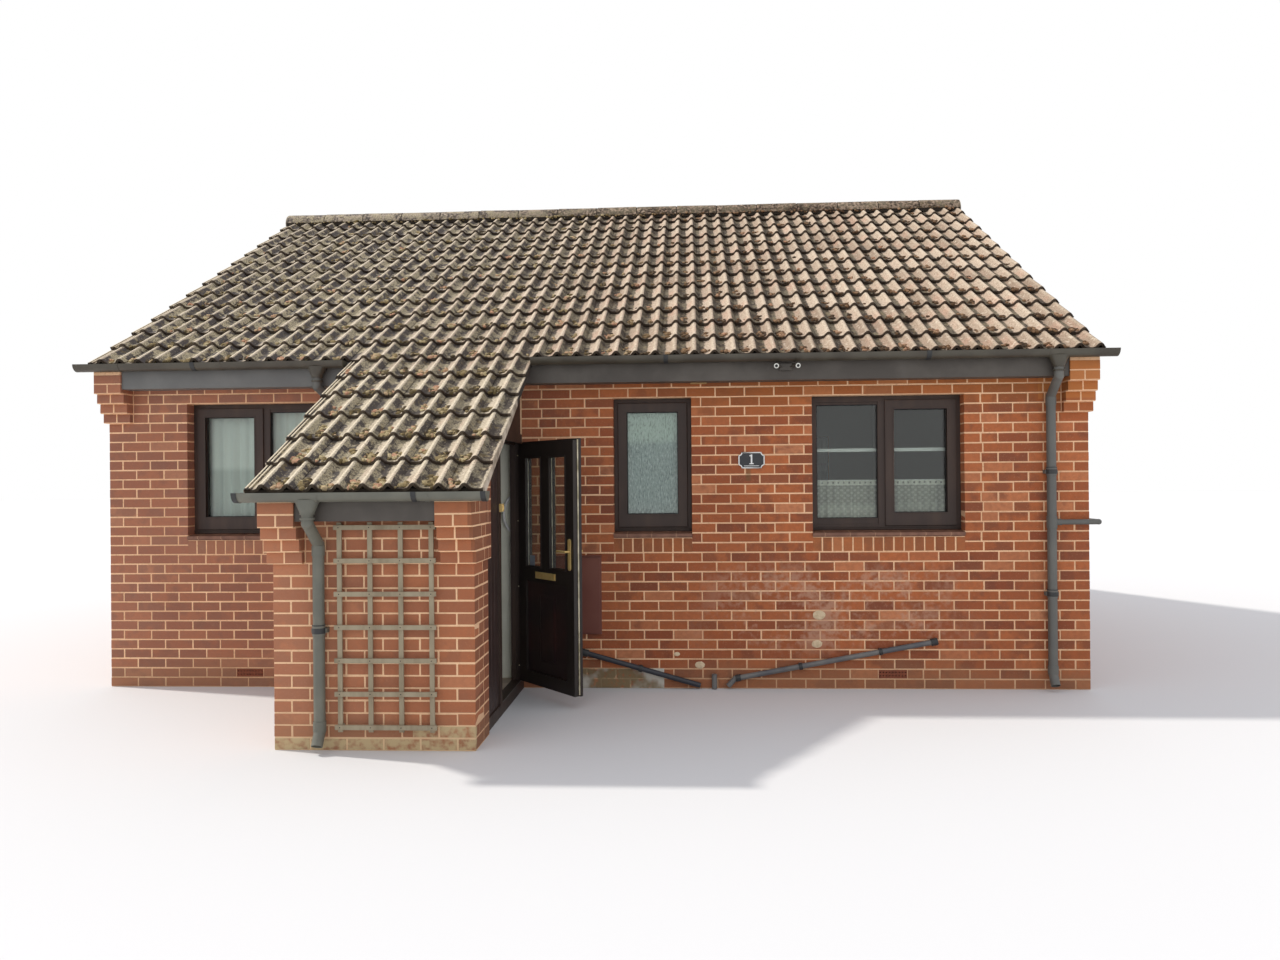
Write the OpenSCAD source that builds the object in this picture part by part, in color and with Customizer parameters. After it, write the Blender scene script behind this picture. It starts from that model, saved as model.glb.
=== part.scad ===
// Brick bungalow: tiled gable roof that sweeps down over an entrance porch with a side door.
// Origin: ground level at the middle of the main house. +X to the right of the front, +Y to the back.

/* [House] */
// Width of the main house over its brick faces
house_w = 7640; // [7300:10:9600]
// Width for which the places along the front wall below are given; they keep their share of the width
plan_w = 7640; // [7300:10:9600]
// Depth of the main house over its brick faces
house_d = 7080; // [5600:10:9000]
// Thickness of the cavity walls
wall_t = 270; // [230:5:340]
// Height of the tile line above ground at the face of the front wall
eaves_line_z = 2667; // [2640:1:2850]
// Finished floor level above ground
floor_z = 80; // [40:5:95]
// Height of the window heads above ground
head_z = 2250; // [2180:5:2290]

/* [Roof] */
// Pitch of both slopes in degrees
pitch = 30; // [28:0.5:31]
// Tile courses on each main slope
main_courses = 13; // [11:1:16]
// Further tile courses that run down over the porch
porch_courses = 6; // [4:1:9]
// Overhang of the eaves tiles past the wall face, level
eaves_out = 164; // [155:1:185]
// Overhang of the porch eaves tiles past the porch face, level
porch_eaves_out = 186; // [160:1:195]
// Overhang of the verge tiles past the gable face
verge_out = 70; // [40:1:110]
// Upright thickness of tiles, battens and bedding together
roof_t = 82; // [70:1:110]
// Step at the nose of each tile course
nose_step = 24; // [12:1:30]
// Thickness of a tile tail where it hangs over the gutter
tail_t = 28; // [22:1:34]
// Thickness of the cement undercloak below the verge tiles
undercloak_t = 12; // [6:1:18]
// Set-back of the undercloak from the edge of the verge tiles
undercloak_in = 6; // [2:1:15]
// Outer radius of the half-round ridge tiles
ridge_r = 125; // [105:1:140]
// Wall of the ridge tiles
ridge_t = 18; // [12:1:24]
// Depth of the ridge tile centres below the line where the slopes meet
ridge_drop = 62; // [50:1:70]

/* [Brickwork] */
// Height of one brick course with its bed joint
course = 75; // [72:0.5:76]
// Length of a brick face
brick_l = 215; // [190:1:230]
// Mortar joint
joint = 10; // [6:1:14]
// Forward step of each corbel course
corbel_step = 40; // [30:1:42]
// Sideways step of the kneelers and verge bands past the gable face
side_step = 22; // [10:1:30]
// Depth of the verge band, square to the slope
band_d = 215; // [150:5:280]
// Depth of an air brick from the wall face
air_brick_t = 65; // [50:1:100]

/* [Porch] */
// Width of the porch over its brick faces
porch_w = 1228; // [1150:1:1500]
// Projection of the porch in front of the main wall
porch_d = 1687; // [1640:1:1720]
// Distance from the right corner of the house to the right face of the porch
porch_from_right = 4300; // [4200:5:4380]
// Thickness of the porch walls
porch_wall_t = 215; // [180:5:230]
// Length of the brick return beside the side panel
return_l = 370; // [300:5:420]
// Overhang of the porch verge tiles past the porch walls
porch_verge_out = 96; // [60:1:120]
// Width of the opening from the porch into the house
hall_w = 760; // [680:5:780]
// Height of that opening above the floor
hall_h = 1980; // [1900:5:2050]
// Distance from the inner face of the porch side wall to that opening
hall_in = 33; // [10:1:50]
// Thickness of the smooth lining beside that opening
lining_t = 15; // [8:1:18]

/* [Windows] */
// Width of the two wide windows
wide_w = 1150; // [1000:5:1250]
// Width of the small window
small_w = 610; // [500:5:750]
// Height of the window frames
frame_h = 1040; // [900:5:1100]
// Distance from the left corner to the left window
win_a_from_left = 637; // [500:1:740]
// Distance from the right corner to the right window
win_c_from_right = 920; // [700:1:1050]
// Distance from the right corner to the small window
win_b_from_right = 2993; // [2750:1:3150]
// Depth of the brick reveal in front of the frames
reveal = 100; // [60:1:115]
// Depth of a window frame from front to back
frame_t = 70; // [64:1:80]
// Face width of the outer frame members
frame_face = 46; // [40:1:60]
// Face width of the sash members
sash_face = 58; // [45:1:65]
// Proud step of a sash in front of its frame
sash_proud = 14; // [6:1:18]
// Lap of a sash over its frame
sash_lap = 12; // [6:1:16]
// Width of the opening light from the reveal to the middle of the mullion
light_w = 598; // [500:1:640]
// Face width of the mullion
mullion_face = 64; // [50:1:80]
// Thickness of the sealed glass units
glass_t = 24; // [20:1:28]
// Thickness of the tile sills
sill_t = 46; // [38:1:60]
// Projection of the sills past the brick face
sill_out = 16; // [8:1:30]
// Fall of the sills from the frame to the front edge
sill_fall = 14; // [6:1:16]
// Height of the front edge of the sills
sill_edge = 22; // [14:1:22]

/* [Eaves] */
// Height of the fascia boards
fascia_h = 192; // [150:1:205]
// Thickness of the fascia boards
fascia_t = 20; // [14:1:24]
// Thickness of the soffit boards
soffit_t = 9; // [6:1:12]
// Set-back of the fascia behind the face of the corbels
fascia_back = 14; // [12:1:22]
// Outer radius of the gutters
gutter_r = 56; // [50:1:60]
// Wall of the gutters
gutter_wall = 4; // [3:0.5:6]
// Gap between the gutters and the fascia, filled by the brackets
gutter_gap = 2; // [1:0.5:5]
// Drop of the main gutter rims below the tile noses
rim_drop = 3; // [2:1:12]
// Drop of the porch gutter rim below the tile noses
porch_rim_drop = 6; // [3:1:8]
// Overhang of the main gutters past the verge tiles
gutter_past = 58; // [20:1:90]
// Overhang of the porch gutter past the porch verge tiles
porch_gutter_past = 34; // [20:1:90]
// Distance between gutter brackets
bracket_pitch = 830; // [600:10:1000]
// Width of a gutter bracket
bracket_w = 26; // [16:1:40]
// Length of the gutter piece that holds an outlet
outlet_l = 150; // [110:2:200]
// Height of the outlets below the gutters
outlet_h = 62; // [40:1:80]
// Outer radius of the downpipes
pipe_r = 34; // [30:0.5:36]
// Thickness of the pipe sockets and clips
socket_t = 4; // [2:0.5:6]
// Distance of the downpipe centres from the wall
pipe_off = 50; // [44:1:60]
// Drop of the swan necks
neck_drop = 130; // [110:1:180]
// Distance from the right corner to the right downpipe
pipe_from_right = 293; // [280:1:420]
// Distance from the left corner of the porch to its downpipe
porch_pipe_in = 298; // [280:1:320]
// Distance from the porch to the left downpipe
left_pipe_in = 240; // [150:1:260]
// Heights of the lower and upper pipe clips
clip_zs = [700, 1620]; // [600:10:1700]
// Height of the waste branch that joins the right downpipe
branch_z = 1270; // [1000:10:1500]
// Depth behind the front wall at which that branch enters the gable wall
branch_back = 320; // [290:10:500]
// Sideways run of the left swan neck
left_pipe_run = 90; // [0:1:120]

/* [Front door] */
// Width of the door leaf between the jambs
leaf_w = 740; // [700:1:760]
// Height of the door leaf
leaf_h = 1815; // [1760:1:1830]
// Thickness of the part of the leaf that closes into the frame
leaf_t = 42; // [38:1:46]
// Thickness of the outer flange of the leaf
flange_t = 20; // [14:1:22]
// Lap of the flange over the jamb face
flange_lap = 8; // [4:1:12]
// Running gap round the leaf
leaf_gap = 5; // [5:0.5:7]
// Face width of the door frame members
jamb_face = 70; // [64:1:80]
// Depth of the door frame
jamb_d = 80; // [72:1:95]
// Set-back of the door frame behind the face of the brick return
door_back = 15; // [5:1:30]
// Width of the stop that the leaf closes against
stop_w = 15; // [10:1:20]
// Angle at which the door stands open
open_deg = 41.5; // [20:0.5:85]
// Width of the leaf stiles
stile_w = 96; // [80:1:110]
// Face width of the bar between the two door lights
muntin_w = 106; // [70:1:130]
// Height of the bottom rail of the leaf
rail_low_h = 95; // [80:1:130]
// Height of the lock rail of the leaf
rail_mid_h = 105; // [90:1:140]
// Height of the top rail of the leaf
rail_top_h = 107; // [90:1:140]
// Height of the panel opening below the lock rail
panel_h = 678; // [600:1:720]
// Thickness of the door panel and the door lights
light_t = 24; // [16:1:28]
// Width of the raised field of the door panel
field_w = 218; // [150:1:300]
// Height of the raised field of the door panel
field_h = 500; // [400:1:540]
// Width of the bevel round the raised field
field_bevel = 22; // [12:1:40]
// Height of the raised field above the panel
field_rise = 9; // [5:1:12]
// Radius of the hinge pins
pin_r = 3; // [2.5:0.1:3.5]
// Clearance round a hinge pin
pin_gap = 0.3; // [0.2:0.05:0.5]
// Outer radius of the hinge knuckles
knuckle_r = 7.5; // [6.5:0.1:8.5]
// Height of a hinge
hinge_h = 90; // [70:1:120]
// Width of the letter plate
letter_w = 270; // [220:1:300]
// Height of the letter plate
letter_h = 50; // [36:1:70]
// Height of the handle plates
handle_h = 225; // [180:1:250]
// Width of the handle plates
handle_w = 30; // [24:1:40]
// Reach of the handles from the leaf
handle_out = 48; // [36:1:52]
// Length of the levers
lever_l = 105; // [80:1:130]

/* [Fittings] */
// Number of trellis uprights
trellis_uprights = 4; // [3:1:4]
// Number of trellis rails
trellis_rails = 7; // [4:1:7]
// Spacing of the trellis uprights
trellis_pitch_x = 186; // [150:1:190]
// Spacing of the trellis rails
trellis_pitch_z = 199; // [150:1:205]
// Distance from the left corner of the porch to the first upright
trellis_in = 419; // [410:1:440]
// Height of the lowest trellis rail
trellis_low = 149; // [120:1:160]
// Length of the trellis laths past the outer crossings
trellis_past = 30; // [15:1:40]
// Face width of a trellis lath
trellis_bar = 28; // [18:1:36]
// Thickness of a trellis lath
trellis_t = 12; // [8:1:16]
// Distance of the trellis from the wall
trellis_off = 25; // [15:1:40]
// Width of the meter box
meter_w = 408; // [300:1:420]
// Height of the meter box
meter_h = 604; // [450:1:620]
// Height of the foot of the meter box above ground
meter_z = 421; // [380:1:430]
// Distance of the meter box from the porch face
meter_in = 192; // [180:1:260]
// Projection of the meter box from the wall
meter_out = 30; // [20:1:32]
// Projection of the meter box door from its case
meter_door_t = 8; // [4:1:12]
// Width of the house number plaque
plaque_w = 200; // [120:1:260]
// Height of the house number plaque
plaque_h = 125; // [80:1:160]
// Thickness of the plaque
plaque_t = 6; // [4:1:12]
// Distance from the small window to the middle of the plaque
plaque_in = 460; // [300:1:600]
// Radius of each lamp head
lamp_r = 17; // [12:1:19]
// Distance from the right corner to the gully that the waste pipes run to
gully_from_right = 2833; // [2700:1:2950]
// Level run of the right waste pipe
waste_long_run = 1673; // [1200:1:1700]
// Level run of the left waste pipe
waste_short_run = 1009; // [900:1:1100]
// Height at which the right waste pipe leaves the wall
waste_long_z = 365; // [300:1:390]
// Height at which the left waste pipe leaves the wall
waste_short_z = 281; // [200:1:330]
// Outer radius of the waste pipes
waste_r = 20; // [16:0.5:21]
// Gap between the waste pipes and the wall, filled by the clips
waste_gap = 6; // [3:1:8]
// Diameter of the grab rail
rail_dia = 22; // [16:1:28]
// Height of the grab rail from fixing to fixing
rail_l = 280; // [220:1:340]
// Reach of the grab rail from the jamb
rail_reach = 62; // [45:1:80]
// Height of the middle of the grab rail above the floor
rail_z = 1276; // [900:1:1400]

/* [Hidden] */

$fn = 48;
slim_fn = 32;
ridge_fn = 96;
elbow_ratio = 1.05;
seat = 0.05;
eps = 1;
slope = tan(pitch);
cos_p = cos(pitch);
sin_p = sin(pitch);
half_w = house_w / 2;
half_d = house_d / 2;
front_y = -half_d;
apex_z = eaves_line_z + half_d * slope;
gauge = (half_d + eaves_out) / cos_p / main_courses;
porch_gauge = (porch_d + porch_eaves_out - eaves_out) / cos_p / porch_courses;

across = house_w / plan_w;
porch_x1 = half_w - porch_from_right * across;
porch_x0 = porch_x1 - porch_w;
porch_y = front_y - porch_d;
return_y = porch_y + return_l;
roof_x = half_w + verge_out;
porch_roof_x0 = porch_x0 - porch_verge_out;
porch_roof_x1 = porch_x1 + porch_verge_out;

corbel_steps = 4;
corbel_out = corbel_steps * corbel_step;
corbel_z = corbel_base(0);
porch_corbel_z = corbel_base(porch_d);
kneeler_run = 2 * (brick_l + joint);
kneeler_x = half_w + side_step - brick_l;
porch_kneeler_x0 = porch_x0 - side_step + brick_l;
porch_kneeler_x1 = porch_x1 + side_step - brick_l;

frame_z = head_z - frame_h;
sill_z = frame_z - sill_t;
win_a_x = -half_w + win_a_from_left * across;
win_b_x = half_w - win_b_from_right * across - small_w;
win_c_x = half_w - win_c_from_right * across - wide_w;
frame_y = front_y + reveal;
glass_y = frame_y + (frame_t - glass_t) / 2;
sash_in = sash_face - sash_lap;
air_brick_z = course + joint / 2;
air_brick_h = course - joint;
air_brick_xs = [win_a_x + 390, win_c_x + 490];

hall_x0 = porch_x0 + porch_wall_t + hall_in;
hall_x1 = hall_x0 + hall_w;
hall_top = floor_z + hall_h;

tail_drop = tail_t / cos_p;
fascia_out = corbel_out - fascia_back;
gutter_out = fascia_out + gutter_gap + gutter_r;
inner_r = gutter_r - gutter_wall;
rim_z = eaves_line_z - eaves_out * slope - tail_t * cos_p - rim_drop;
porch_rim_z = eaves_line_z - (porch_d + porch_eaves_out) * slope - tail_t * cos_p - porch_rim_drop;
pipe_right_x = half_w - pipe_from_right;
pipe_left_x = porch_x0 - left_pipe_in;
pipe_porch_x = porch_x0 + porch_pipe_in;
shoe_z = 8;
shoe_run = [45, 80];

door_x1 = porch_x1 - door_back;
door_x0 = door_x1 - jamb_d;
far_jamb_y = front_y - jamb_face;
near_jamb_y = far_jamb_y - leaf_w - 2 * leaf_gap;
panel_x0 = door_x0 + 20;
panel_x1 = door_x1 - 12;
flange_x = door_x1 + leaf_gap;
leaf_in_x = flange_x - leaf_t;
leaf_out_x = flange_x + flange_t;
leaf_mid_x = (leaf_in_x + leaf_out_x) / 2;
leaf_full_t = leaf_t + flange_t;
leaf_y1 = far_jamb_y - leaf_gap;
leaf_y0 = leaf_y1 - leaf_w;
leaf_mid_y = (leaf_y0 + leaf_y1) / 2;
leaf_z = floor_z + leaf_gap;
leaf_top = leaf_z + leaf_h;
door_head_z = leaf_top + leaf_gap;
panel_low = leaf_z + rail_low_h;
light_low = panel_low + panel_h + rail_mid_h;
light_high = leaf_top - rail_top_h;
light_clear = (leaf_w - 2 * stile_w - muntin_w) / 2;
hinge_x = leaf_out_x + knuckle_r + 0.5;
hinge_y = far_jamb_y + flange_lap + 6;
hinge_levels = [leaf_z + 190, leaf_z + leaf_h / 2, leaf_top - 190];
hinge_plate_t = 4;
handle_y = leaf_y0 + stile_w / 2;
handle_z = light_low + 10;
lock_z = light_low - rail_mid_h / 2;

clay = [0.62, 0.31, 0.22];
tile_brown = [0.47, 0.40, 0.34];
cement = [0.60, 0.59, 0.56];
slate_grey = [0.30, 0.31, 0.32];
pipe_grey = [0.38, 0.40, 0.40];
dark_brown = [0.20, 0.13, 0.10];
red_brown = [0.42, 0.18, 0.14];
glass_tint = [0.70, 0.80, 0.82];
brass = [0.72, 0.58, 0.30];
old_timber = [0.55, 0.50, 0.42];
chalk = [0.88, 0.88, 0.85];

// Height of the tile line at a level distance in front of the front wall face
function line_z(out) = eaves_line_z - out * slope;

// A point of the front slope's section at a level distance in front of the wall face
function eave_pt(out, z) = [front_y - out, z];

// A point n square off the tile line, at a level distance in front of the wall face
function tile_pt(out, n) = [front_y - out - n * sin_p, line_z(out) + n * cos_p];

// Height of the lowest corbel course under eaves whose wall stands line_out before the front wall
function corbel_base(line_out) =
    course * (floor((line_z(line_out + corbel_out) - roof_t) / course) - corbel_steps - 1);

// Level distance in front of the wall at the nose of main course k, counted from the ridge
function nose_out(k) = k * gauge * cos_p - half_d;

// The same for course k of the porch, counted from the main eaves
function porch_nose_out(k) = eaves_out + k * porch_gauge * cos_p;

// Level distance at which the full thickness of a verge ends
function verge_end(line_out, last_nose) = min(line_out + fascia_out, last_nose - tail_t * sin_p - 4);

// A section drawn in Y and Z, carried from x0 to x1
module along_x(x0, x1) {
    translate([x0, 0, 0]) rotate([90, 0, 90]) linear_extrude(x1 - x0) children();
}

// A straight round bar between two points
module rod(a, b, r) {
    v = b - a;
    translate(a) rotate([0, acos(v[2] / norm(v)), atan2(v[1], v[0])]) cylinder(h = norm(v), r = r);
}

// A round pipe through a list of points, with ball elbows a little wider than the pipe
module pipe_run(points, r) {
    for (i = [1 : len(points) - 1]) rod(points[i - 1], points[i], r);
    for (i = [1 : 1 : len(points) - 2]) translate(points[i]) sphere(r * elbow_ratio);
}

// Lower half of a disc, drawn in Y and Z about a gutter's centre
module half_disc(y, z, r) {
    difference() {
        translate([y, z]) circle(r);
        translate([y - 2 * r, z]) square([4 * r, 2 * r]);
    }
}

// Lower half of a ring, drawn in the same way
module half_ring(y, z, outer_r, inner_r) {
    difference() {
        half_disc(y, z, outer_r);
        translate([y, z]) circle(inner_r);
    }
}

// Section of the main front slope from the ridge to the eaves
module main_section(thick, full_out) {
    polygon(concat(
        [[0, apex_z - nose_step / cos_p], tile_pt(nose_out(1), 0)],
        [for (k = [1 : main_courses - 1], e = [0, 1]) tile_pt(nose_out(k + e), (e - 1) * nose_step)],
        [tile_pt(eaves_out, -tail_t), eave_pt(full_out, line_z(full_out) - tail_drop),
         eave_pt(full_out, line_z(full_out) - thick), [0, apex_z - thick]]
    ));
}

// Section of the slope over the porch, from the main wall face to the porch eaves
module porch_section(thick, full_out) {
    last_out = porch_d + porch_eaves_out;
    head_n = -nose_step * eaves_out / (eaves_out - nose_out(main_courses - 1));
    polygon(concat(
        [[front_y, line_z(0) + head_n / cos_p], tile_pt(eaves_out, 0)],
        [for (k = [0 : porch_courses - 1], e = [0, 1]) tile_pt(porch_nose_out(k + e), (e - 1) * nose_step)],
        [tile_pt(last_out, -tail_t), eave_pt(full_out, line_z(full_out) - tail_drop),
         eave_pt(full_out, line_z(full_out) - thick), [front_y, line_z(0) - thick]]
    ));
}

// Height of masonry and boards that end a seat's clearance under the roof
function under_roof(out) = line_z(out) - roof_t - seat;

// Masonry from a level up to the underside of the roof, between two places on the front slope
module wall_section(y0, y1, low = 0) {
    polygon([[y0, low], [y1, low], [y1, under_roof(front_y - y1)], [y0, under_roof(front_y - y0)]]);
}

module window_cut(x, w) {
    translate([x, front_y - eps, sill_z]) cube([w, wall_t + 2 * eps, head_z - sill_z]);
}

// Holes for the air bricks at the foot of a wall
module air_brick_cuts() {
    for (x = air_brick_xs) translate([x, front_y - eps, air_brick_z])
        cube([brick_l, air_brick_t + eps, air_brick_h]);
}

// Corbel courses under one end of the eaves; the last one runs on up to the tiles
module corbels(x0, line_out, low_z) {
    back = line_out - eps;
    along_x(x0, x0 + brick_l) for (k = [0 : corbel_steps]) {
        reach = line_out + corbel_step * min(k + 1, corbel_steps);
        low = low_z + k * course - (k > 0 ? eps : 0);
        top = low_z + (k + 1) * course;
        last = k == corbel_steps;
        polygon([eave_pt(reach, low), eave_pt(back, low),
                 eave_pt(back, last ? under_roof(back) : top),
                 eave_pt(reach, last ? under_roof(reach) : top)]);
    }
}

// Corbels and sideways step at one end of the main eaves
module main_kneeler(side) {
    corbels(side > 0 ? kneeler_x : -kneeler_x - brick_l, 0, corbel_z);
    along_x(side > 0 ? half_w - eps : -half_w - side_step, side > 0 ? half_w + side_step : -half_w + eps)
        wall_section(front_y - eps, front_y + wall_t, corbel_z);
}

module floor_slab() {
    color(cement) translate([-half_w + wall_t, -half_d + wall_t, 0])
        cube([house_w - 2 * wall_t, house_d - 2 * wall_t, floor_z]);
}

module porch_floor() {
    color(cement) {
        translate([porch_x0 + porch_wall_t, porch_y + porch_wall_t, 0])
            cube([porch_w - 2 * porch_wall_t, porch_d - porch_wall_t, floor_z]);
        translate([porch_x1 - porch_wall_t - eps, return_y, 0])
            cube([door_x0 - porch_x1 + porch_wall_t + eps, front_y - return_y, floor_z]);
        translate([hall_x0, front_y - eps, 0]) cube([hall_w, wall_t + eps, floor_z]);
    }
}

module front_wall_left() {
    color(clay) difference() {
        union() {
            along_x(-half_w, hall_x0) wall_section(front_y, front_y + wall_t);
            main_kneeler(-1);
        }
        window_cut(win_a_x, wide_w);
        air_brick_cuts();
    }
}

module front_wall_right() {
    color(clay) difference() {
        union() {
            along_x(hall_x1, half_w) wall_section(front_y, front_y + wall_t);
            main_kneeler(1);
        }
        window_cut(win_b_x, small_w);
        window_cut(win_c_x, wide_w);
        air_brick_cuts();
    }
}

module wall_over_hall() {
    color(clay) along_x(hall_x0, hall_x1) wall_section(front_y, front_y + wall_t, hall_top);
}

module rear_wall() {
    color(clay) mirror([0, 1, 0]) difference() {
        union() {
            along_x(-half_w, half_w) wall_section(front_y, front_y + wall_t);
            main_kneeler(-1);
            main_kneeler(1);
        }
        window_cut(win_a_x, wide_w);
        window_cut(win_b_x, small_w);
        window_cut(win_c_x, wide_w);
        air_brick_cuts();
    }
}

// Gable wall between the front and rear walls, with the band of bricks on end that follows each verge
module gable_wall(side) {
    inner = half_d - wall_t;
    knee = half_d - kneeler_run;
    top = apex_z - roof_t - seat;
    drop = band_d / cos_p;
    color(clay) {
        along_x(side > 0 ? half_w - wall_t : -half_w, side > 0 ? half_w : -half_w + wall_t)
            polygon([[-inner, 0], [inner, 0], [inner, top - inner * slope], [0, top],
                     [-inner, top - inner * slope]]);
        along_x(side > 0 ? half_w - eps : -half_w - side_step, side > 0 ? half_w + side_step : -half_w + eps)
            polygon([[-inner, top - inner * slope], [0, top], [inner, top - inner * slope],
                     [inner, corbel_z], [knee, corbel_z], [knee, top - knee * slope - drop],
                     [0, top - drop],
                     [-knee, top - knee * slope - drop], [-knee, corbel_z], [-inner, corbel_z]]);
    }
}

module gable_wall_left() { gable_wall(-1); }

module gable_wall_right() { gable_wall(1); }

module porch_front_wall() {
    color(clay) {
        along_x(porch_x0, porch_x1) wall_section(porch_y, porch_y + porch_wall_t);
        along_x(porch_x0 - side_step, porch_x0 + eps)
            wall_section(porch_y - eps, porch_y + porch_wall_t, porch_corbel_z);
        along_x(porch_x1 - eps, porch_x1 + side_step)
            wall_section(porch_y - eps, porch_y + porch_wall_t, porch_corbel_z);
        corbels(porch_x0 - side_step, porch_d, porch_corbel_z);
        corbels(porch_kneeler_x1, porch_d, porch_corbel_z);
    }
}

module porch_side_wall() {
    color(clay) {
        along_x(porch_x0, porch_x0 + porch_wall_t) wall_section(porch_y + porch_wall_t, front_y);
        along_x(porch_x0 - side_step, porch_x0 + eps)
            wall_section(porch_y + porch_wall_t, return_y, porch_corbel_z);
    }
}

module porch_return() {
    color(clay) {
        along_x(porch_x1 - porch_wall_t, porch_x1) wall_section(porch_y + porch_wall_t, return_y);
        along_x(porch_x1 - eps, porch_x1 + side_step)
            wall_section(porch_y + porch_wall_t, return_y, porch_corbel_z);
    }
}

// Smooth pale lining on the house wall beside the inner opening
module porch_lining() {
    color(chalk) translate([hall_x1, front_y - lining_t, floor_z])
        cube([door_x0 - hall_x1, lining_t, hall_h]);
}

// A main slope with thinner edges, where the verge tiles lie on the undercloaks
module slope_slab() {
    end_out = verge_end(0, eaves_out);
    along_x(-kneeler_x, kneeler_x) main_section(roof_t, fascia_out - fascia_t);
    for (x = [-roof_x, kneeler_x])
        along_x(x, x + roof_x - kneeler_x) main_section(roof_t - undercloak_t, end_out);
}

module roof_front() {
    color(tile_brown) difference() {
        slope_slab();
        translate([porch_roof_x0, front_y - 2 * eaves_out, 0])
            cube([porch_roof_x1 - porch_roof_x0, 2 * eaves_out, apex_z]);
    }
}

module roof_rear() {
    color(tile_brown) mirror([0, 1, 0]) slope_slab();
}

module roof_porch() {
    end_out = verge_end(porch_d, porch_d + porch_eaves_out);
    color(tile_brown) {
        along_x(porch_kneeler_x0, porch_kneeler_x1) porch_section(roof_t, porch_d + fascia_out - fascia_t);
        along_x(porch_roof_x0, porch_kneeler_x0) porch_section(roof_t - undercloak_t, end_out);
        along_x(porch_kneeler_x1, porch_roof_x1) porch_section(roof_t - undercloak_t, end_out);
    }
}

// Half-round ridge tiles with their mortar bed, cut to the tiles below
module ridge_tiles() {
    bed_w = ridge_t + 8;
    bed_y = ridge_r - 4;
    z = apex_z - ridge_drop;
    color(tile_brown) along_x(-roof_x, roof_x) difference() {
        union() {
            intersection() {
                translate([0, z]) circle(ridge_r, $fn = ridge_fn);
                translate([-ridge_r, z]) square([2 * ridge_r, 2 * ridge_r]);
            }
            for (y = [-bed_y, bed_y - bed_w]) translate([y, z - 40]) square([bed_w, 40 + eps]);
        }
        translate([0, z]) circle(ridge_r - ridge_t, $fn = ridge_fn);
        main_section(roof_t, 0);
        mirror([1, 0]) main_section(roof_t, 0);
    }
}

// Strip below the verge tiles, through points of the tile line
module undercloak(x0, x1, points) {
    along_x(x0, x1) polygon(concat(
        [for (p = points) [p[0], p[1] - roof_t + undercloak_t - seat]],
        [for (i = [len(points) - 1 : -1 : 0]) [points[i][0], points[i][1] - roof_t]]
    ));
}

module verge_undercloaks() {
    end_out = verge_end(0, eaves_out);
    porch_end = verge_end(porch_d, porch_d + porch_eaves_out);
    edge = roof_x - undercloak_in;
    over_ridge = [eave_pt(end_out, line_z(end_out)), [0, apex_z], [half_d + end_out, line_z(end_out)]];
    down_porch = [eave_pt(porch_end, line_z(porch_end)), eave_pt(0, line_z(0))];
    color(cement) {
        undercloak(kneeler_x, edge, over_ridge);
        undercloak(-edge, -kneeler_x, over_ridge);
        undercloak(porch_roof_x0 + undercloak_in, porch_kneeler_x0, down_porch);
        undercloak(porch_kneeler_x1, porch_roof_x1 - undercloak_in, down_porch);
    }
}

// Fascia board with its soffit; lift is the upright distance of its top below the tile line
module eaves_board(x0, x1, line_out, lift) {
    face = line_out + fascia_out;
    back = face - fascia_t;
    low = line_z(face) - tail_drop - fascia_h;
    along_x(x0, x1) polygon([
        eave_pt(face, low), eave_pt(face, line_z(face) - lift - seat),
        eave_pt(back, line_z(back) - lift - seat),
        eave_pt(back, low + soffit_t), eave_pt(line_out, low + soffit_t), eave_pt(line_out, low)
    ]);
}

module fascia_left() {
    color(slate_grey) {
        eaves_board(-kneeler_x, porch_roof_x0, 0, tail_drop);
        eaves_board(porch_roof_x0 - eps, porch_x0, 0, roof_t);
    }
}

module fascia_right() {
    color(slate_grey) {
        eaves_board(porch_roof_x1, kneeler_x, 0, tail_drop);
        eaves_board(porch_x1, porch_roof_x1 + eps, 0, roof_t);
    }
}

module fascia_porch() {
    color(slate_grey) eaves_board(porch_kneeler_x0, porch_kneeler_x1, porch_d, tail_drop);
}

module fascia_rear() {
    color(slate_grey) mirror([0, 1, 0]) eaves_board(-kneeler_x, kneeler_x, 0, tail_drop);
}

// Block and spout through which a gutter empties into its downpipe
module gutter_outlet(x, y, rim) {
    z = rim - gutter_r - outlet_h;
    along_x(x - outlet_l / 2, x + outlet_l / 2)
        half_ring(y, rim - eps, gutter_r + gutter_gap - 0.5, inner_r + eps);
    difference() {
        union() {
            translate([x, y, z]) cylinder(h = outlet_h + gutter_r / 3, r = pipe_r + socket_t);
            translate([x, y, z]) cylinder(h = 24, r = pipe_r + 2 * socket_t);
        }
        translate([x - gutter_r, y, rim]) rotate([0, 90, 0]) cylinder(h = 2 * gutter_r, r = inner_r + eps);
    }
}

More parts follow.
